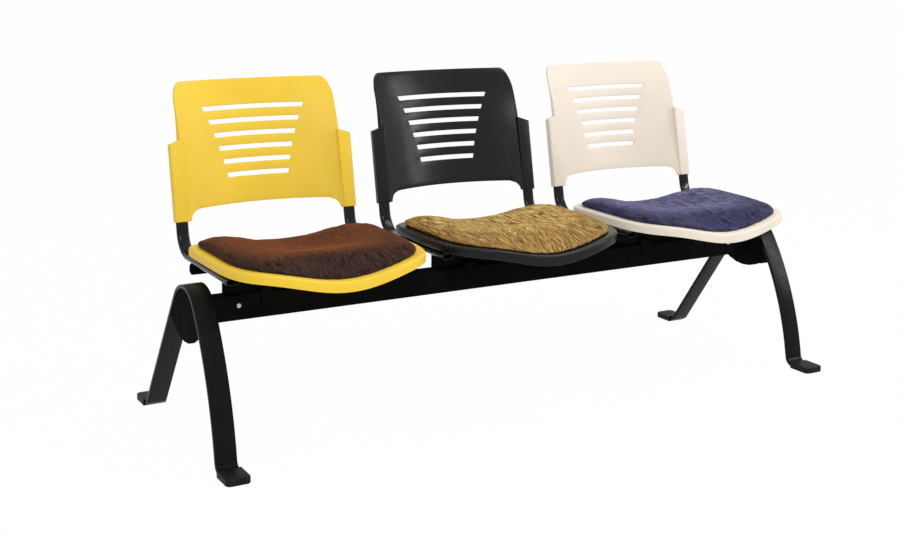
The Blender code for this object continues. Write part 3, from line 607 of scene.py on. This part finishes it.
def bake_modifiers(piece):
    """Replaces the piece's mesh by what its modifiers make of it."""
    graph = bpy.context.evaluated_depsgraph_get()
    made = bpy.data.meshes.new_from_object(piece.evaluated_get(graph))
    piece.modifiers.clear()
    old = piece.data
    piece.data = made
    bpy.data.meshes.remove(old)
    return piece


def boolean(piece, other, operation):
    modifier = piece.modifiers.new(operation.lower(), "BOOLEAN")
    modifier.operation = operation
    modifier.solver = "EXACT"
    modifier.object = other
    bake_modifiers(piece)
    bpy.data.objects.remove(other, do_unlink=True)


def take_mesh(piece):
    """Ends work on a piece and keeps its mesh."""
    mesh = piece.data
    bpy.data.objects.remove(piece, do_unlink=True)
    return smooth(mesh)


def dress(name, mesh, x, material, slot, *nodes):
    """Puts a copy of a mesh made at x = 0 on the part, in place of the nodes named."""
    piece = show(name, mesh.copy())
    piece.data.transform(Matrix.Translation((x, 0.0, 0.0)))
    piece.data.materials.clear()
    piece.data.materials.append(material)
    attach(piece, "root")
    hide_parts(*nodes)
    return piece


# Sections and lines


def quarter(radius, steps):
    """(inset, drop) pairs of a rounded edge, from its top to its side."""
    pairs = []
    for k in range(steps + 1):
        turn = math.pi / 2 * k / steps
        pairs.append((radius * (1 - math.sin(turn)), radius * (1 - math.cos(turn))))
    return pairs


def circle(radius, steps):
    turns = [math.tau * k / steps for k in range(steps)]
    return [(radius * math.cos(turn), radius * math.sin(turn)) for turn in turns]


def rounded_rectangle(half_a, half_b, radius):
    points = []
    for corner, (sign_a, sign_b) in enumerate(((1, 1), (-1, 1), (-1, -1), (1, -1))):
        for k in range(CORNER_STEPS + 1):
            turn = math.pi / 2 * (corner + k / CORNER_STEPS)
            a = sign_a * (half_a - radius) + radius * math.cos(turn)
            points.append((a, sign_b * (half_b - radius) + radius * math.sin(turn)))
    return points


def flat_oval(half_a, half_b):
    points = []
    half = OVAL_STEPS // 2
    for sign in (1, -1):
        for k in range(half):
            turn = math.pi * (k / (half - 1) - 0.5)
            across = half_a - half_b + half_b * math.cos(turn)
            points.append((sign * across, sign * half_b * math.sin(turn)))
    return points


class Trace:
    """Walks a line in the YZ plane and keeps (y, z, heading) stations. Heading 0 is +Y."""

    def __init__(self, y, z, heading):
        self.stations = [(y, z, heading)]

    def straight(self, length):
        y, z, heading = self.stations[-1]
        self.stations.append((y + length * math.cos(heading), z + length * math.sin(heading), heading))

    def bend(self, radius, angle, steps):
        y, z, start = self.stations[-1]
        side = math.copysign(radius, angle)
        for k in range(1, steps + 1):
            heading = start + angle * k / steps
            across = y + side * (math.sin(heading) - math.sin(start))
            self.stations.append((across, z + side * (math.cos(start) - math.cos(heading)), heading))


def swept_rings(stations, section):
    """A section of (across X, across the line) points, carried along a trace."""
    rings = []
    for y, z, heading in stations:
        up_y, up_z = -math.sin(heading), math.cos(heading)
        rings.append([(a, y + b * up_y, z + b * up_z) for a, b in section])
    return rings


# Legs


def leg_stations():
    """The bar's middle line from the rear toe over the arch to the front toe."""
    rear = math.pi / 2 + LEG_REAR_LEAN
    front = 1.5 * math.pi - LEG_FRONT_TOP_LEAN
    foot = 1.5 * math.pi - LEG_FRONT_FOOT_LEAN
    rise = LEG_HEIGHT - LEG_THICK / 2 - FOOT_LEVEL
    rear_rise = rise - (LEG_FOOT_RADIUS + LEG_TOP_RADIUS) * (1 + math.cos(rear))
    drop = rise - LEG_TOP_RADIUS * (1 + math.cos(front)) - LEG_FOOT_RADIUS * (1 + math.cos(foot))
    trace = Trace(0.0, FOOT_LEVEL, math.pi)
    trace.straight(LEG_FOOT_LENGTH)
    trace.bend(LEG_FOOT_RADIUS, rear - math.pi, FOOT_STEPS)
    trace.straight(rear_rise / math.sin(rear))
    trace.bend(LEG_TOP_RADIUS, front - rear, ARCH_STEPS)
    trace.bend(drop / (math.cos(foot) - math.cos(front)), foot - front, ARCH_STEPS)
    trace.bend(LEG_FOOT_RADIUS, math.pi - foot, FOOT_STEPS)
    trace.straight(LEG_FOOT_LENGTH)
    shift = -trace.stations[-1][0] / 2
    return [(y + shift, z, heading) for y, z, heading in trace.stations]


def shoe_mesh(toe, facing):
    """A cap over the turned-out foot: open at the heel, round at the toe corners and along its top edge."""
    half_width = LEG_WIDTH / 2 + FIT_GAP + SHOE_WALL
    front = toe + FIT_GAP + SHOE_WALL
    heel = toe - LEG_FOOT_LENGTH
    top = [(inset, SHOE_HEIGHT - drop) for inset, drop in quarter(SHOE_EDGE, CORNER_STEPS)]
    bottom = [(inset, drop) for inset, drop in quarter(SHOE_EDGE / 2, CORNER_STEPS)]
    rings = []
    for inset, z in bottom + top[::-1]:
        ring = [(-half_width + inset, facing * heel, z), (half_width - inset, facing * heel, z)]
        for sign in (1, -1):
            for k in range(CORNER_STEPS + 1):
                turn = math.pi / 2 * (k if sign > 0 else CORNER_STEPS - k) / CORNER_STEPS
                across = half_width - SHOE_TOE_RADIUS + (SHOE_TOE_RADIUS - inset) * math.cos(turn)
                ahead = front - SHOE_TOE_RADIUS + (SHOE_TOE_RADIUS - inset) * math.sin(turn)
                ring.append((sign * across, facing * ahead, z))
        rings.append(ring)
    shoe = ring_piece("shoe", rings)
    section = rounded_rectangle(LEG_WIDTH / 2 + FIT_GAP, LEG_THICK / 2 + FIT_GAP, LEG_ROUND)
    pocket = []
    for y in (heel - LEG_FOOT_LENGTH, toe + FIT_GAP):
        pocket.append([(a, facing * y, FOOT_LEVEL + b) for a, b in section])
    boolean(shoe, ring_piece("pocket", pocket), "DIFFERENCE")
    return take_mesh(shoe)


def legs():
    stations = leg_stations()
    section = rounded_rectangle(LEG_WIDTH / 2, LEG_THICK / 2, LEG_ROUND)
    bar = mesh_of("bar", ring_work(swept_rings(stations, section)))
    toe = stations[0][0]
    shoes = {"front": shoe_mesh(toe, -1), "rear": shoe_mesh(toe, 1)}
    for side, word in SIDES:
        x = side * LEG_OFFSET
        dress(word + "_leg_arch", bar, x, SATIN_COAT, "powder_coat", word + "_leg_bar")
        for end, shoe in shoes.items():
            dress(f"{word}_{end}_glide", shoe, x, GLIDE, "glide_plastic", f"{word}_{end}_shoe")


# Seat frame


def upright_y(z):
    """Where the middle line of an upright lies at height z."""
    return BEAM_Y + UPRIGHT_BACK + (z - TUBE_LEVEL) * math.tan(UPRIGHT_LEAN)


def tube_mesh():
    """A bent flat oval tube, hollow through its open ends."""
    turn = math.pi / 2 - UPRIGHT_LEAN
    trace = Trace(BEAM_Y - TUBE_FRONT, TUBE_LEVEL, 0.0)
    trace.straight(TUBE_FRONT + UPRIGHT_BACK - TUBE_BEND * math.tan(turn / 2))
    trace.bend(TUBE_BEND, turn, BEND_STEPS)
    trace.straight((UPRIGHT_TOP - trace.stations[-1][1]) / math.cos(UPRIGHT_LEAN))
    outer = flat_oval(TUBE_WIDTH / 2, TUBE_DEPTH / 2)
    inner = flat_oval(TUBE_WIDTH / 2 - TUBE_WALL, TUBE_DEPTH / 2 - TUBE_WALL)
    rings = swept_rings(trace.stations, outer) + swept_rings(trace.stations[::-1], inner)
    return mesh_of("tube", ring_work(rings, looped=True))


def cross_bar(name):
    """The flat bar over the beam: it stands on the beam between the saddles and steps over them."""
    low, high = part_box(name + "_front_cross_bar")
    foot = beam_high.z + FIT_GAP
    line = [(low.x, foot)]
    for _, word in SIDES:
        saddle_low, saddle_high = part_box(f"{name}_saddle_{word}")
        start, end = saddle_low.x - FIT_GAP, saddle_high.x + FIT_GAP
        line += [(start, foot), (start, low.z), (end, low.z), (end, foot)]
    line += [(high.x, foot), (high.x, high.z), (low.x, high.z)]
    rings = [[(x, y, z) for x, z in line] for y in (low.y, high.y)]
    mesh = mesh_of("bar", ring_work(rings))
    dress(name + "_bar_on_beam", mesh, 0.0, MATT_COAT, "powder_coat", name + "_front_cross_bar")


# Backrest


def sag(x):
    return BACK_CURVE - math.sqrt(BACK_CURVE ** 2 - x ** 2)


def flare_share(z):
    """How far the panel has opened at height z: nothing at the sleeves, all of it at the top edge."""
    return (max(0.0, z - BACK_FLARE_START) / (BACK_TOP - BACK_FLARE_START)) ** 2


def panel_point(a, z):
    """The panel's front surface over the flat place (a, z)."""
    opened = flare_share(z)
    lean = (z - SLEEVE_TOP) * math.tan(BACK_LEAN)
    flare = BACK_FLARE * opened * (a / BACK_HALF) ** 2
    y = upright_y(SLEEVE_TOP) + lean + flare + sag(BACK_HALF) - sag(a) - BACK_THICK / 2
    return Vector((a + BACK_WIDEN * opened * (a / BACK_HALF) ** 3, y, z))


def panel_back(a, z):
    """The panel's rear surface behind the flat place (a, z)."""
    step = SLEEVE_ROUND
    across = panel_point(a + step, z) - panel_point(a - step, z)
    up = panel_point(a, z + step) - panel_point(a, z - step)
    return panel_point(a, z) + up.cross(across).normalized() * panel_depth(a, z)


def panel_depth(a, z):
    """The panel's thickness: deeper at its side edges, most at the sleeves and not at the top corners."""
    outward = max(0.0, (abs(a) - BACK_HALF + SIDE_RIM_WIDTH) / SIDE_RIM_WIDTH)
    upward = (z - SLEEVE_TOP) / (CORNER_LEVEL - SLEEVE_TOP)
    return BACK_THICK + SIDE_RIM_DEPTH * outward * min(max(1.0 - upward, 0.0), 1.0)


def slot_edge(z):
    """Half the width of the field of slots at height z."""
    lowest = SLOT_COUNT - 1 + SLOT_HEIGHT / SLOT_PITCH
    depth = min(max((SLOT_TOP - z) / SLOT_PITCH, 0.0), lowest)
    return SLOT_HALF - SLOT_TAPER * depth + SLOT_TAPER_EASE * depth ** 2


HOOK_SIDE = TUBE_INNER_SIDE - FIT_GAP - SLEEVE_WALL - HOOK_INSET
HOOK_LOW = SLEEVE_BOTTOM + BACK_THICK / 2
CORNER_LEVEL = BACK_TOP - BACK_CORNER_HEIGHT
CORNER_SHARE = 1 - BACK_CORNER_WIDTH / (BACK_HALF - slot_edge(BACK_TOP))
HOOK_SHARE = (HOOK_SIDE - HOOK_RADIUS - slot_edge(BACK_BOTTOM)) / (BACK_HALF - slot_edge(BACK_BOTTOM))

# Mesh columns beside the slots, as shares of the way from a slot's end to the panel's edge
SIDE_SHARES = (0.16, 0.32, 0.45, 0.58, CORNER_SHARE, HOOK_SHARE, 0.80, 0.88, 0.94, 1.0)


def evenly(start, end, count):
    """count steps after start, the last one on end."""
    return [start + (end - start) * k / count for k in range(1, count + 1)]


def corner_place(share, rise):
    """A flat place in a rounded top corner: share runs outward and rise upward, both from 0 to 1.

    The patch is blended from its four edges, of which the outer and the upper one lie on the round.
    """
    def on_round(angle):
        turn = math.radians(angle)
        return Vector((math.cos(turn), math.sin(turn)))

    outer, upper = on_round(45 * rise), on_round(90 - 45 * share)
    inner, lower = Vector((0.0, rise)), Vector((share, 0.0))
    blend = (1 - share) * inner + share * outer + (1 - rise) * lower + rise * upper
    blend -= (1 - share) * rise * Vector((0.0, 1.0)) + share * (1 - rise) * Vector((1.0, 0.0))
    blend -= share * rise * on_round(45)
    across = BACK_HALF - BACK_CORNER_WIDTH * (1 - blend.x)
    return across, CORNER_LEVEL + BACK_CORNER_HEIGHT * blend.y


def panel_row(z):
    """Flat places of one mesh row of the panel, from its left edge to its right one."""
    edge = slot_edge(z)
    half = []
    for share in SIDE_SHARES:
        if z > CORNER_LEVEL and share > CORNER_SHARE:
            outward = (share - CORNER_SHARE) / (1 - CORNER_SHARE)
            half.append(corner_place(outward, (z - CORNER_LEVEL) / BACK_CORNER_HEIGHT))
        else:
            half.append((edge + (BACK_HALF - edge) * share, z))
    middle = [(edge * (2 * k / SLOT_COLUMNS - 1), z) for k in range(SLOT_COLUMNS + 1)]
    return [(-a, level) for a, level in reversed(half)] + middle + half


def hook_row(z):
    """Flat places of one mesh row of the right-hand hook under the panel, from its edge to its side."""
    drop = min((BACK_BOTTOM - z) / HOOK_RADIUS, 1.0)
    edge = min(HOOK_SIDE - HOOK_RADIUS * (1 - math.sqrt(1 - (1 - drop) ** 2)), HOOK_SIDE)
    places = []
    for share in SIDE_SHARES[SIDE_SHARES.index(HOOK_SHARE):]:
        places.append((edge + (BACK_HALF - edge) * (share - HOOK_SHARE) / (1 - HOOK_SHARE), z))
    return places


def panel_cells():
    """The flat cells of the panel, each as four places. The slots are left out."""
    levels = [BACK_BOTTOM]
    slots = []
    for k in reversed(range(SLOT_COUNT)):
        top = SLOT_TOP - k * SLOT_PITCH
        levels += evenly(levels[-1], top - SLOT_HEIGHT, PANEL_ROWS if len(levels) == 1 else RIB_ROWS)
        slots.append(len(levels) - 1)
        levels.append(top)
    levels += [CORNER_LEVEL, *evenly(CORNER_LEVEL, BACK_TOP, PANEL_ROWS)]
    rows = [panel_row(z) for z in levels]
    first_slot, last_slot = len(SIDE_SHARES), len(SIDE_SHARES) + SLOT_COLUMNS
    for r, (low, high) in enumerate(zip(rows, rows[1:])):
        for c in range(len(low) - 1):
            if r in slots and first_slot <= c < last_slot:
                continue
            yield low[c], low[c + 1], high[c + 1], high[c]
    hook = [hook_row(z) for z in [BACK_BOTTOM, *evenly(BACK_BOTTOM, HOOK_LOW, HOOK_ROWS)]]
    for high, low in zip(hook, hook[1:]):
        for c in range(len(low) - 1):
            cell = (low[c], low[c + 1], high[c + 1], high[c])
            yield cell
            yield tuple((-a, z) for a, z in reversed(cell))


def panel_work():
    """The slotted panel as a closed mesh whose edges carry how much they are to be rounded."""
    work = bmesh.new()
    round_share = work.edges.layers.float.new("bevel_weight_edge")
    corners = {}

    def corner(place):
        key = (round(place[0], 6), round(place[1], 6))
        if key not in corners:
            corners[key] = (work.verts.new(panel_point(*place)), work.verts.new(panel_back(*place)), place)
        return corners[key]

    edges = {}
    for cell in panel_cells():
        points = [corner(place) for place in cell]
        work.faces.new([front for front, _, _ in points])
        work.faces.new([back for _, back, _ in reversed(points)])
        for first, second in zip(points, points[1:] + points[:1]):
            edges.setdefault(frozenset((first[0], second[0])), []).append((first, second))
    for (first, second), *shared in edges.values():
        if shared:
            continue
        work.faces.new((second[0], first[0], first[1], second[1]))
        depth = panel_depth(*first[2])
        beside = abs(first[2][0]) > BACK_HALF - SIDE_RIM_WIDTH and first[2][1] > HOOK_LOW
        front = min(SIDE_EDGE * depth / EDGE_ROUND, 1.0) if beside else SMALL_EDGE
        work.edges.get((first[0], second[0]))[round_share] = front
        work.edges.get((first[1], second[1]))[round_share] = SMALL_EDGE
    return work


def upright_rings(section_at, levels):
    """Sections carried up the line of the right-hand upright, slanting where a level says so.

    Each level is (inset, height, slant), and section_at gives the section for an inset.
    """
    rings = []
    for inset, z, slant in levels:
        ring = swept_rings([(upright_y(z), z, math.pi / 2 - UPRIGHT_LEAN)], section_at(inset))[0]
        tilt = math.tan(UPRIGHT_LEAN)
        rings.append([(TUBE_SPREAD + x, y - slant * x * tilt, level - slant * x) for x, y, level in ring])
    return rings


def mirrored(rings, side):
    return [[(side * x, y, z) for x, y, z in ring] for ring in rings]


def sleeve_rings():
    half_width = TUBE_WIDTH / 2 + FIT_GAP + SLEEVE_WALL
    half_depth = TUBE_DEPTH / 2 + FIT_GAP + SLEEVE_WALL
    rounds = quarter(SLEEVE_ROUND, CORNER_STEPS)
    levels = [(inset, SLEEVE_BOTTOM + drop, 0.0) for inset, drop in rounds]
    levels += [(inset, SLEEVE_TOP - drop, SLEEVE_SLANT) for inset, drop in reversed(rounds)]

    def section_at(inset):
        return rounded_rectangle(half_width - inset, half_depth - inset, SLEEVE_CORNER - inset)

    return upright_rings(section_at, levels)


def screw_hole_rings():
    """A round cutter through the back of the right-hand sleeve."""
    forward = Vector((0, -math.cos(UPRIGHT_LEAN), math.sin(UPRIGHT_LEAN)))
    middle = Vector((TUBE_SPREAD, upright_y(SCREW_LEVEL), SCREW_LEVEL))
    upward = Vector((1, 0, 0)).cross(forward)
    rings = []
    for reach in (TUBE_DEPTH / 2, TUBE_DEPTH / 2 + FIT_GAP + 2 * SLEEVE_WALL):
        centre = middle - forward * reach
        rings.append([centre + Vector((a, 0, 0)) + upward * b for a, b in circle(SCREW_HOLE, ROUND_STEPS)])
    return rings


def backrest_mesh():
    """Panel and sleeves in one moulding: rounded edges, a pocket for each upright, a screw hole behind."""
    shell = show("backrest", mesh_of("backrest", panel_work()))
    rounding = shell.modifiers.new("round", "BEVEL")
    rounding.limit_method = "WEIGHT"
    rounding.width = EDGE_ROUND
    rounding.segments = EDGE_STEPS
    bake_modifiers(shell)

    def bore_at(inset):
        return flat_oval(TUBE_WIDTH / 2 + FIT_GAP - inset, TUBE_DEPTH / 2 + FIT_GAP - inset)

    ends = ((0.0, SLEEVE_BOTTOM - HOOK_RADIUS, 0.0), (0.0, UPRIGHT_TOP + FIT_GAP, 0.0))
    bore = upright_rings(bore_at, ends)
    for side, _ in SIDES:
        boolean(shell, ring_piece("sleeve", mirrored(sleeve_rings(), side)), "UNION")
    for side, _ in SIDES:
        boolean(shell, ring_piece("pocket", mirrored(bore, side)), "DIFFERENCE")
        boolean(shell, ring_piece("screw_hole", mirrored(screw_hole_rings(), side)), "DIFFERENCE")
    return take_mesh(shell)


# Seat pan


def seat_outline(share):
    """Plan points of the seat outline, drawn in to a share of its full size, or its one middle point."""
    if share == 0.0:
        return [(0.0, 0.0)]
    points = []
    for k in range(OUTLINE_STEPS):
        even = math.tau * k / OUTLINE_STEPS
        turn = even + CORNER_CROWDING * math.sin(4 * even) / 4
        c, s = math.cos(turn), math.sin(turn)
        squareness = PAN_FRONT_SQUARENESS if s < 0 else PAN_REAR_SQUARENESS
        reach = (abs(c) ** squareness + abs(s) ** squareness) ** (-1 / squareness)
        a, b = reach * c, reach * s
        bow = 1 - a * a
        length = PAN_FRONT + PAN_FRONT_BOW * bow if b < 0 else PAN_REAR + PAN_REAR_BOW * bow
        points.append((share * a * PAN_HALF, share * b * length))
    return points


def inset_share(inset):
    return 1 - inset / PAN_HALF


def rim_level(x, y):
    """Height of the seat's rim surface: level at the sides, with a trough that deepens at the front."""
    forward = max(0.0, -y - FRONT_TROUGH_START) / (PAN_FRONT + PAN_FRONT_BOW - FRONT_TROUGH_START)
    across = min(abs(x) / TUBE_INNER_SIDE, 1.0)
    depth = SEAT_TROUGH + (FRONT_TROUGH - SEAT_TROUGH) * forward ** 2
    return SEAT_HEIGHT - depth * (1 + math.cos(math.pi * across)) / 2


def dish(share):
    return PAN_DISH * (1 - min(share / inset_share(PAN_LIP), 1.0) ** 2) ** 2


def seat_ring(share, level):
    return [(a, SEAT_Y + b, level(a, b)) for a, b in seat_outline(share)]


def skirt(x):
    """How far the pan's rim hangs down: less beside the seat than in front of it."""
    return PAN_SKIRT - (PAN_SKIRT - PAN_SIDE_SKIRT) * min(abs(x) / PAN_HALF, 1.0) ** PAN_SKIRT_EASE


def pan_mesh():
    """The dished shell with its hanging rim, round along its edges, on four bosses."""
    def surface(share, drop=0.0):
        return seat_ring(share, lambda a, b: rim_level(a, b) - dish(share) - drop)

    def hem(inset, rise=0.0):
        return seat_ring(inset_share(inset), lambda a, b: rim_level(a, b) - skirt(a) + rise)

    inner = [*PAN_SHARES, inset_share(PAN_LIP)]
    rings = [surface(share) for share in [*inner, inset_share(PAN_LIP / 2)]]
    rings += [surface(inset_share(inset), drop) for inset, drop in quarter(RIM_ROUND, CORNER_STEPS)]
    foot = quarter(RIM_FOOT_ROUND, CORNER_STEPS)
    rings += [hem(inset, rise) for inset, rise in reversed(foot)]
    rings.append(hem(PAN_SHELL))
    rings.append(surface(inset_share(PAN_SHELL), PAN_SHELL))
    rings += [surface(share, PAN_SHELL) for share in reversed(inner)]
    pan = ring_piece("pan", rings)
    low = TUBE_LEVEL + TUBE_DEPTH / 2 + FIT_GAP
    for side, _ in SIDES:
        for back in BOSS_PLACES:
            boss = []
            for z in (low, SEAT_HEIGHT - PAN_SHELL / 2):
                ring = circle(BOSS_RADIUS, ROUND_STEPS)
                boss.append([(side * TUBE_SPREAD + a, SEAT_Y + back + b, z) for a, b in ring])
            boolean(pan, ring_piece("boss", boss), "UNION")
    return take_mesh(pan)


# Seat pad


def pad_height(x, y, share):
    """Height of the pad over its edge: raised at the sides, filled at the front, rolled down all round."""
    across = min(abs(x) / PAD_HUMP, 1.0)
    side = math.sin(math.pi / 2 * across) ** 2
    fill = PAD_SWELL * math.exp(-((y + PAD_SWELL_FRONT) / PAD_SWELL_SPREAD) ** 2)
    crown = PAD_MIDDLE + (PAD_SIDE - PAD_MIDDLE) * side + fill * (1 - side)
    forward = min(max(-y / PAN_FRONT, 0.0), 1.0)
    roll = PAD_REAR_ROLL + (PAD_FRONT_ROLL - PAD_REAR_ROLL) * forward
    return crown * math.sqrt(1 - share ** roll)


def pad_blank():
    """The pad before it is puffed up: its moulded form, a little slack, closed underneath on the pan."""
    full = inset_share(PAD_INSET + PAD_SLACK)
    seam = inset_share(PAD_INSET + PAD_TUCK)

    def top(share):
        def level(a, b):
            return rim_level(a, b) + PAD_BULGE - PAD_SLACK + pad_height(a, b, share)

        return seat_ring(share * full, level)

    def under(share):
        return seat_ring(share, lambda a, b: rim_level(a, b) - dish(share) + FIT_GAP)

    rings = [top(share) for share in PAD_SHARES]
    rings += [under(share) for share in (seam, inset_share(PAN_LIP), *PAD_UNDER_SHARES)]
    return ring_piece("pad", rings)


def over_rim(point):
    """How high a point of a pad lies over the pan's rim surface."""
    return point.z - rim_level(point.x, point.y - SEAT_Y)


def puff_up(pad):
    """Inflates the cover with a short cloth run.

    Its underside stays on the pan, and no point moves further than the cap.
    """
    scene = bpy.context.scene
    rest = [point.co.copy() for point in pad.data.vertices]
    held = pad.vertex_groups.new(name="held")
    held.add([k for k, point in enumerate(rest) if over_rim(point) < PAD_VOXEL / 2], 1.0, "REPLACE")
    cloth = pad.modifiers.new("cloth", "CLOTH")
    settings = cloth.settings
    settings.use_pressure = True
    settings.uniform_pressure_force = PAD_PRESSURE
    settings.effector_weights.gravity = 0.0
    settings.vertex_group_mass = held.name
    cloth.point_cache.frame_start = 1
    cloth.point_cache.frame_end = PAD_FRAMES
    for step in range(1, PAD_FRAMES + 1):
        scene.frame_set(step)
    graph = bpy.context.evaluated_depsgraph_get()
    moved = [point.co.copy() for point in pad.evaluated_get(graph).data.vertices]
    pad.modifiers.clear()
    pad.vertex_groups.clear()
    for point, start, end in zip(pad.data.vertices, rest, moved):
        step = end - start
        if step.length > PAD_CAP:
            step *= PAD_CAP / step.length
        point.co = start + step
    scene.frame_set(1)


def painted_shade_share(x, y):
    """How far the cover has turned down at a plan place: 0 on top, 1 at the edge.

    It starts to turn further in at the front than at the sides. The share sets how much painted shade the
    cover takes there.
    """
    length = PAN_REAR + PAN_REAR_BOW if y > 0 else PAN_FRONT + PAN_FRONT_BOW
    squareness = PAN_REAR_SQUARENESS if y > 0 else PAN_FRONT_SQUARENESS
    reach = ((abs(x) / PAN_HALF) ** squareness + (abs(y) / length) ** squareness) ** (1 / squareness)
    start = SHADE_START_SIDE - (SHADE_START_SIDE - SHADE_START_FRONT) * max(0.0, -y) / length
    return min(max((reach - start) / SHADE_BLEND_WIDTH, 0.0), 1.0)


def lay_cloth_out(mesh):
    """Writes the cloth attribute: each point's place in plan, pushed outward as it lies down the side."""
    layout = mesh.attributes.new("cloth", "FLOAT_VECTOR", "POINT")
    for point, place in zip(mesh.vertices, layout.data):
        down = max(0.0, PAD_WALL - over_rim(point.co))
        flat = point.co + point.normal * down
        # The third value is the share of painted shade on the turned-down cover
        place.vector = (flat.x, flat.y, painted_shade_share(point.co.x, point.co.y - SEAT_Y))


def pad_mesh():
    pad = pad_blank()
    remesh = pad.modifiers.new("remesh", "REMESH")
    remesh.mode = "VOXEL"
    remesh.voxel_size = PAD_VOXEL
    bake_modifiers(pad)
    puff_up(pad)
    relax = pad.modifiers.new("relax", "SMOOTH")
    relax.iterations = PAD_RELAX
    subdivide = pad.modifiers.new("subdivide", "SUBSURF")
    subdivide.levels = 1
    bake_modifiers(pad)
    lay_cloth_out(pad.data)
    mesh = pad.data
    mesh.shade_smooth()
    bpy.data.objects.remove(pad, do_unlink=True)
    return mesh


def seats():
    shell, pan, pad, tube = backrest_mesh(), pan_mesh(), pad_mesh(), tube_mesh()
    for index, name in enumerate(SEAT_NAMES):
        x = (index - 1) * SEAT_PITCH
        plastic = name + "_plastic"
        dress(name + "_back_moulding", shell, x, PLASTICS[name], plastic, name + "_backrest_shell")
        dress(name + "_pan_moulding", pan, x, PLASTICS[name], plastic, name + "_seat_pan")
        nodes = (name + "_seat_cushion", name + "_cushion_board")
        cover = dress(name + "_pad_cover", pad, x, FABRICS[name], name + "_fabric", *nodes)
        cross_bar(name)
        for side, word in SIDES:
            node = f"{name}_frame_tube_{word}"
            dress(f"{name}_bent_tube_{word}", tube, x + side * TUBE_SPREAD, GLOSS_COAT, "powder_coat", node)


# Plain nodes keep their solids and take a finish


def finish_nodes():
    for name, node in frame["nodes"].items():
        fixing = name.endswith(("_screw", "_bolt")) or "backrest_screw" in name
        node.data.materials.clear()
        node.data.materials.append(ZINC if fixing else MATT_COAT)


# Floor, light and camera


def floor():
    """A pale floor: white to the camera and in reflections, with a faint part of the shadow kept."""
    work = bmesh.new()
    bmesh.ops.create_grid(work, x_segments=1, y_segments=1, size=FLOOR_HALF)
    ground = show("floor", mesh_of("floor", work))
    material = bpy.data.materials.new("floor_paper")
    material.use_nodes = True
    tree = material.node_tree
    paper = tree.nodes["Principled BSDF"]
    paper.inputs["Base Color"].default_value = (FLOOR_TONE, FLOOR_TONE, FLOOR_TONE, 1.0)
    paper.inputs["Roughness"].default_value = FLOOR_ROUGHNESS
    paper.inputs["Specular IOR Level"].default_value = 0.0
    white = tree.nodes.new("ShaderNodeEmission")
    white.inputs["Strength"].default_value = 1.0
    share = tree.nodes.new("ShaderNodeMath")
    share.operation = "MULTIPLY"
    share.inputs[1].default_value = FLOOR_WHITENESS
    tree.links.new(background_rays(tree), share.inputs[0])
    mix = tree.nodes.new("ShaderNodeMixShader")
    tree.links.new(share.outputs["Value"], mix.inputs["Fac"])
    tree.links.new(paper.outputs["BSDF"], mix.inputs[1])
    tree.links.new(white.outputs["Emission"], mix.inputs[2])
    tree.links.new(mix.outputs["Shader"], tree.nodes["Material Output"].inputs["Surface"])
    ground.data.materials.append(material)
    ground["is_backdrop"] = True


def background_rays(tree):
    """1 for rays that show the background: from the camera, in reflections and through clear things."""
    rays = tree.nodes.new("ShaderNodeLightPath")
    value = rays.outputs["Is Camera Ray"]
    for name in ("Is Glossy Ray", "Is Transmission Ray"):
        either = tree.nodes.new("ShaderNodeMath")
        either.operation = "MAXIMUM"
        tree.links.new(value, either.inputs[0])
        tree.links.new(rays.outputs[name], either.inputs[1])
        value = either.outputs["Value"]
    return value


def world():
    """Even white surroundings: full white to the camera and in reflections, a soft fill on the part."""
    studio = bpy.data.worlds.new("studio")
    bpy.context.scene.world = studio
    studio.use_nodes = True
    tree = studio.node_tree
    back = tree.nodes["Background"]
    level = tree.nodes.new("ShaderNodeMapRange")
    level.inputs["To Min"].default_value = WORLD_FILL
    level.inputs["To Max"].default_value = 1.0
    tree.links.new(background_rays(tree), level.inputs["Value"])
    tree.links.new(level.outputs["Result"], back.inputs["Strength"])
    back.inputs["Color"].default_value = (1.0, 1.0, 1.0, 1.0)


def lamp(name, place, size, power):
    data = bpy.data.lights.new(name, "AREA")
    data.shape = "RECTANGLE"
    data.size, data.size_y = size
    data.energy = power
    light = bpy.data.objects.new(name, data)
    bpy.context.scene.collection.objects.link(light)
    light.location = place
    light.rotation_mode = "QUATERNION"
    light.rotation_quaternion = (LAMP_TARGET - Vector(place)).to_track_quat("-Z", "Y")


def camera():
    data = bpy.data.cameras.new("camera")
    view = bpy.data.objects.new("camera", data)
    bpy.context.scene.collection.objects.link(view)
    level = math.cos(CAMERA_PITCH)
    ahead = Vector((math.sin(CAMERA_YAW) * level, math.cos(CAMERA_YAW) * level, -math.sin(CAMERA_PITCH)))
    flat_right = Vector((math.cos(CAMERA_YAW), -math.sin(CAMERA_YAW), 0.0))
    flat_up = flat_right.cross(ahead)
    right = math.cos(CAMERA_ROLL) * flat_right + math.sin(CAMERA_ROLL) * flat_up
    up = math.cos(CAMERA_ROLL) * flat_up - math.sin(CAMERA_ROLL) * flat_right
    turn = Matrix((right, up, -ahead)).transposed()
    view.matrix_world = Matrix.Translation(CAMERA_PLACE) @ turn.to_4x4()
    data.sensor_width = SENSOR_WIDTH
    data.lens = FOCAL_PIXELS / IMAGE_WIDTH * SENSOR_WIDTH
    data.shift_y = FRAME_SHIFT
    data.clip_end = CAMERA_REACH
    bpy.context.scene.camera = view


finish_nodes()
legs()
seats()
floor()
world()
for name, place, size, power in LAMPS:
    lamp(name, place, size, power)
camera()
bpy.context.scene.view_settings.view_transform = "Standard"

boxes = {"cad": cad_box, "visual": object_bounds()}
{name: [list(corner) for corner in box] for name, box in boxes.items()}
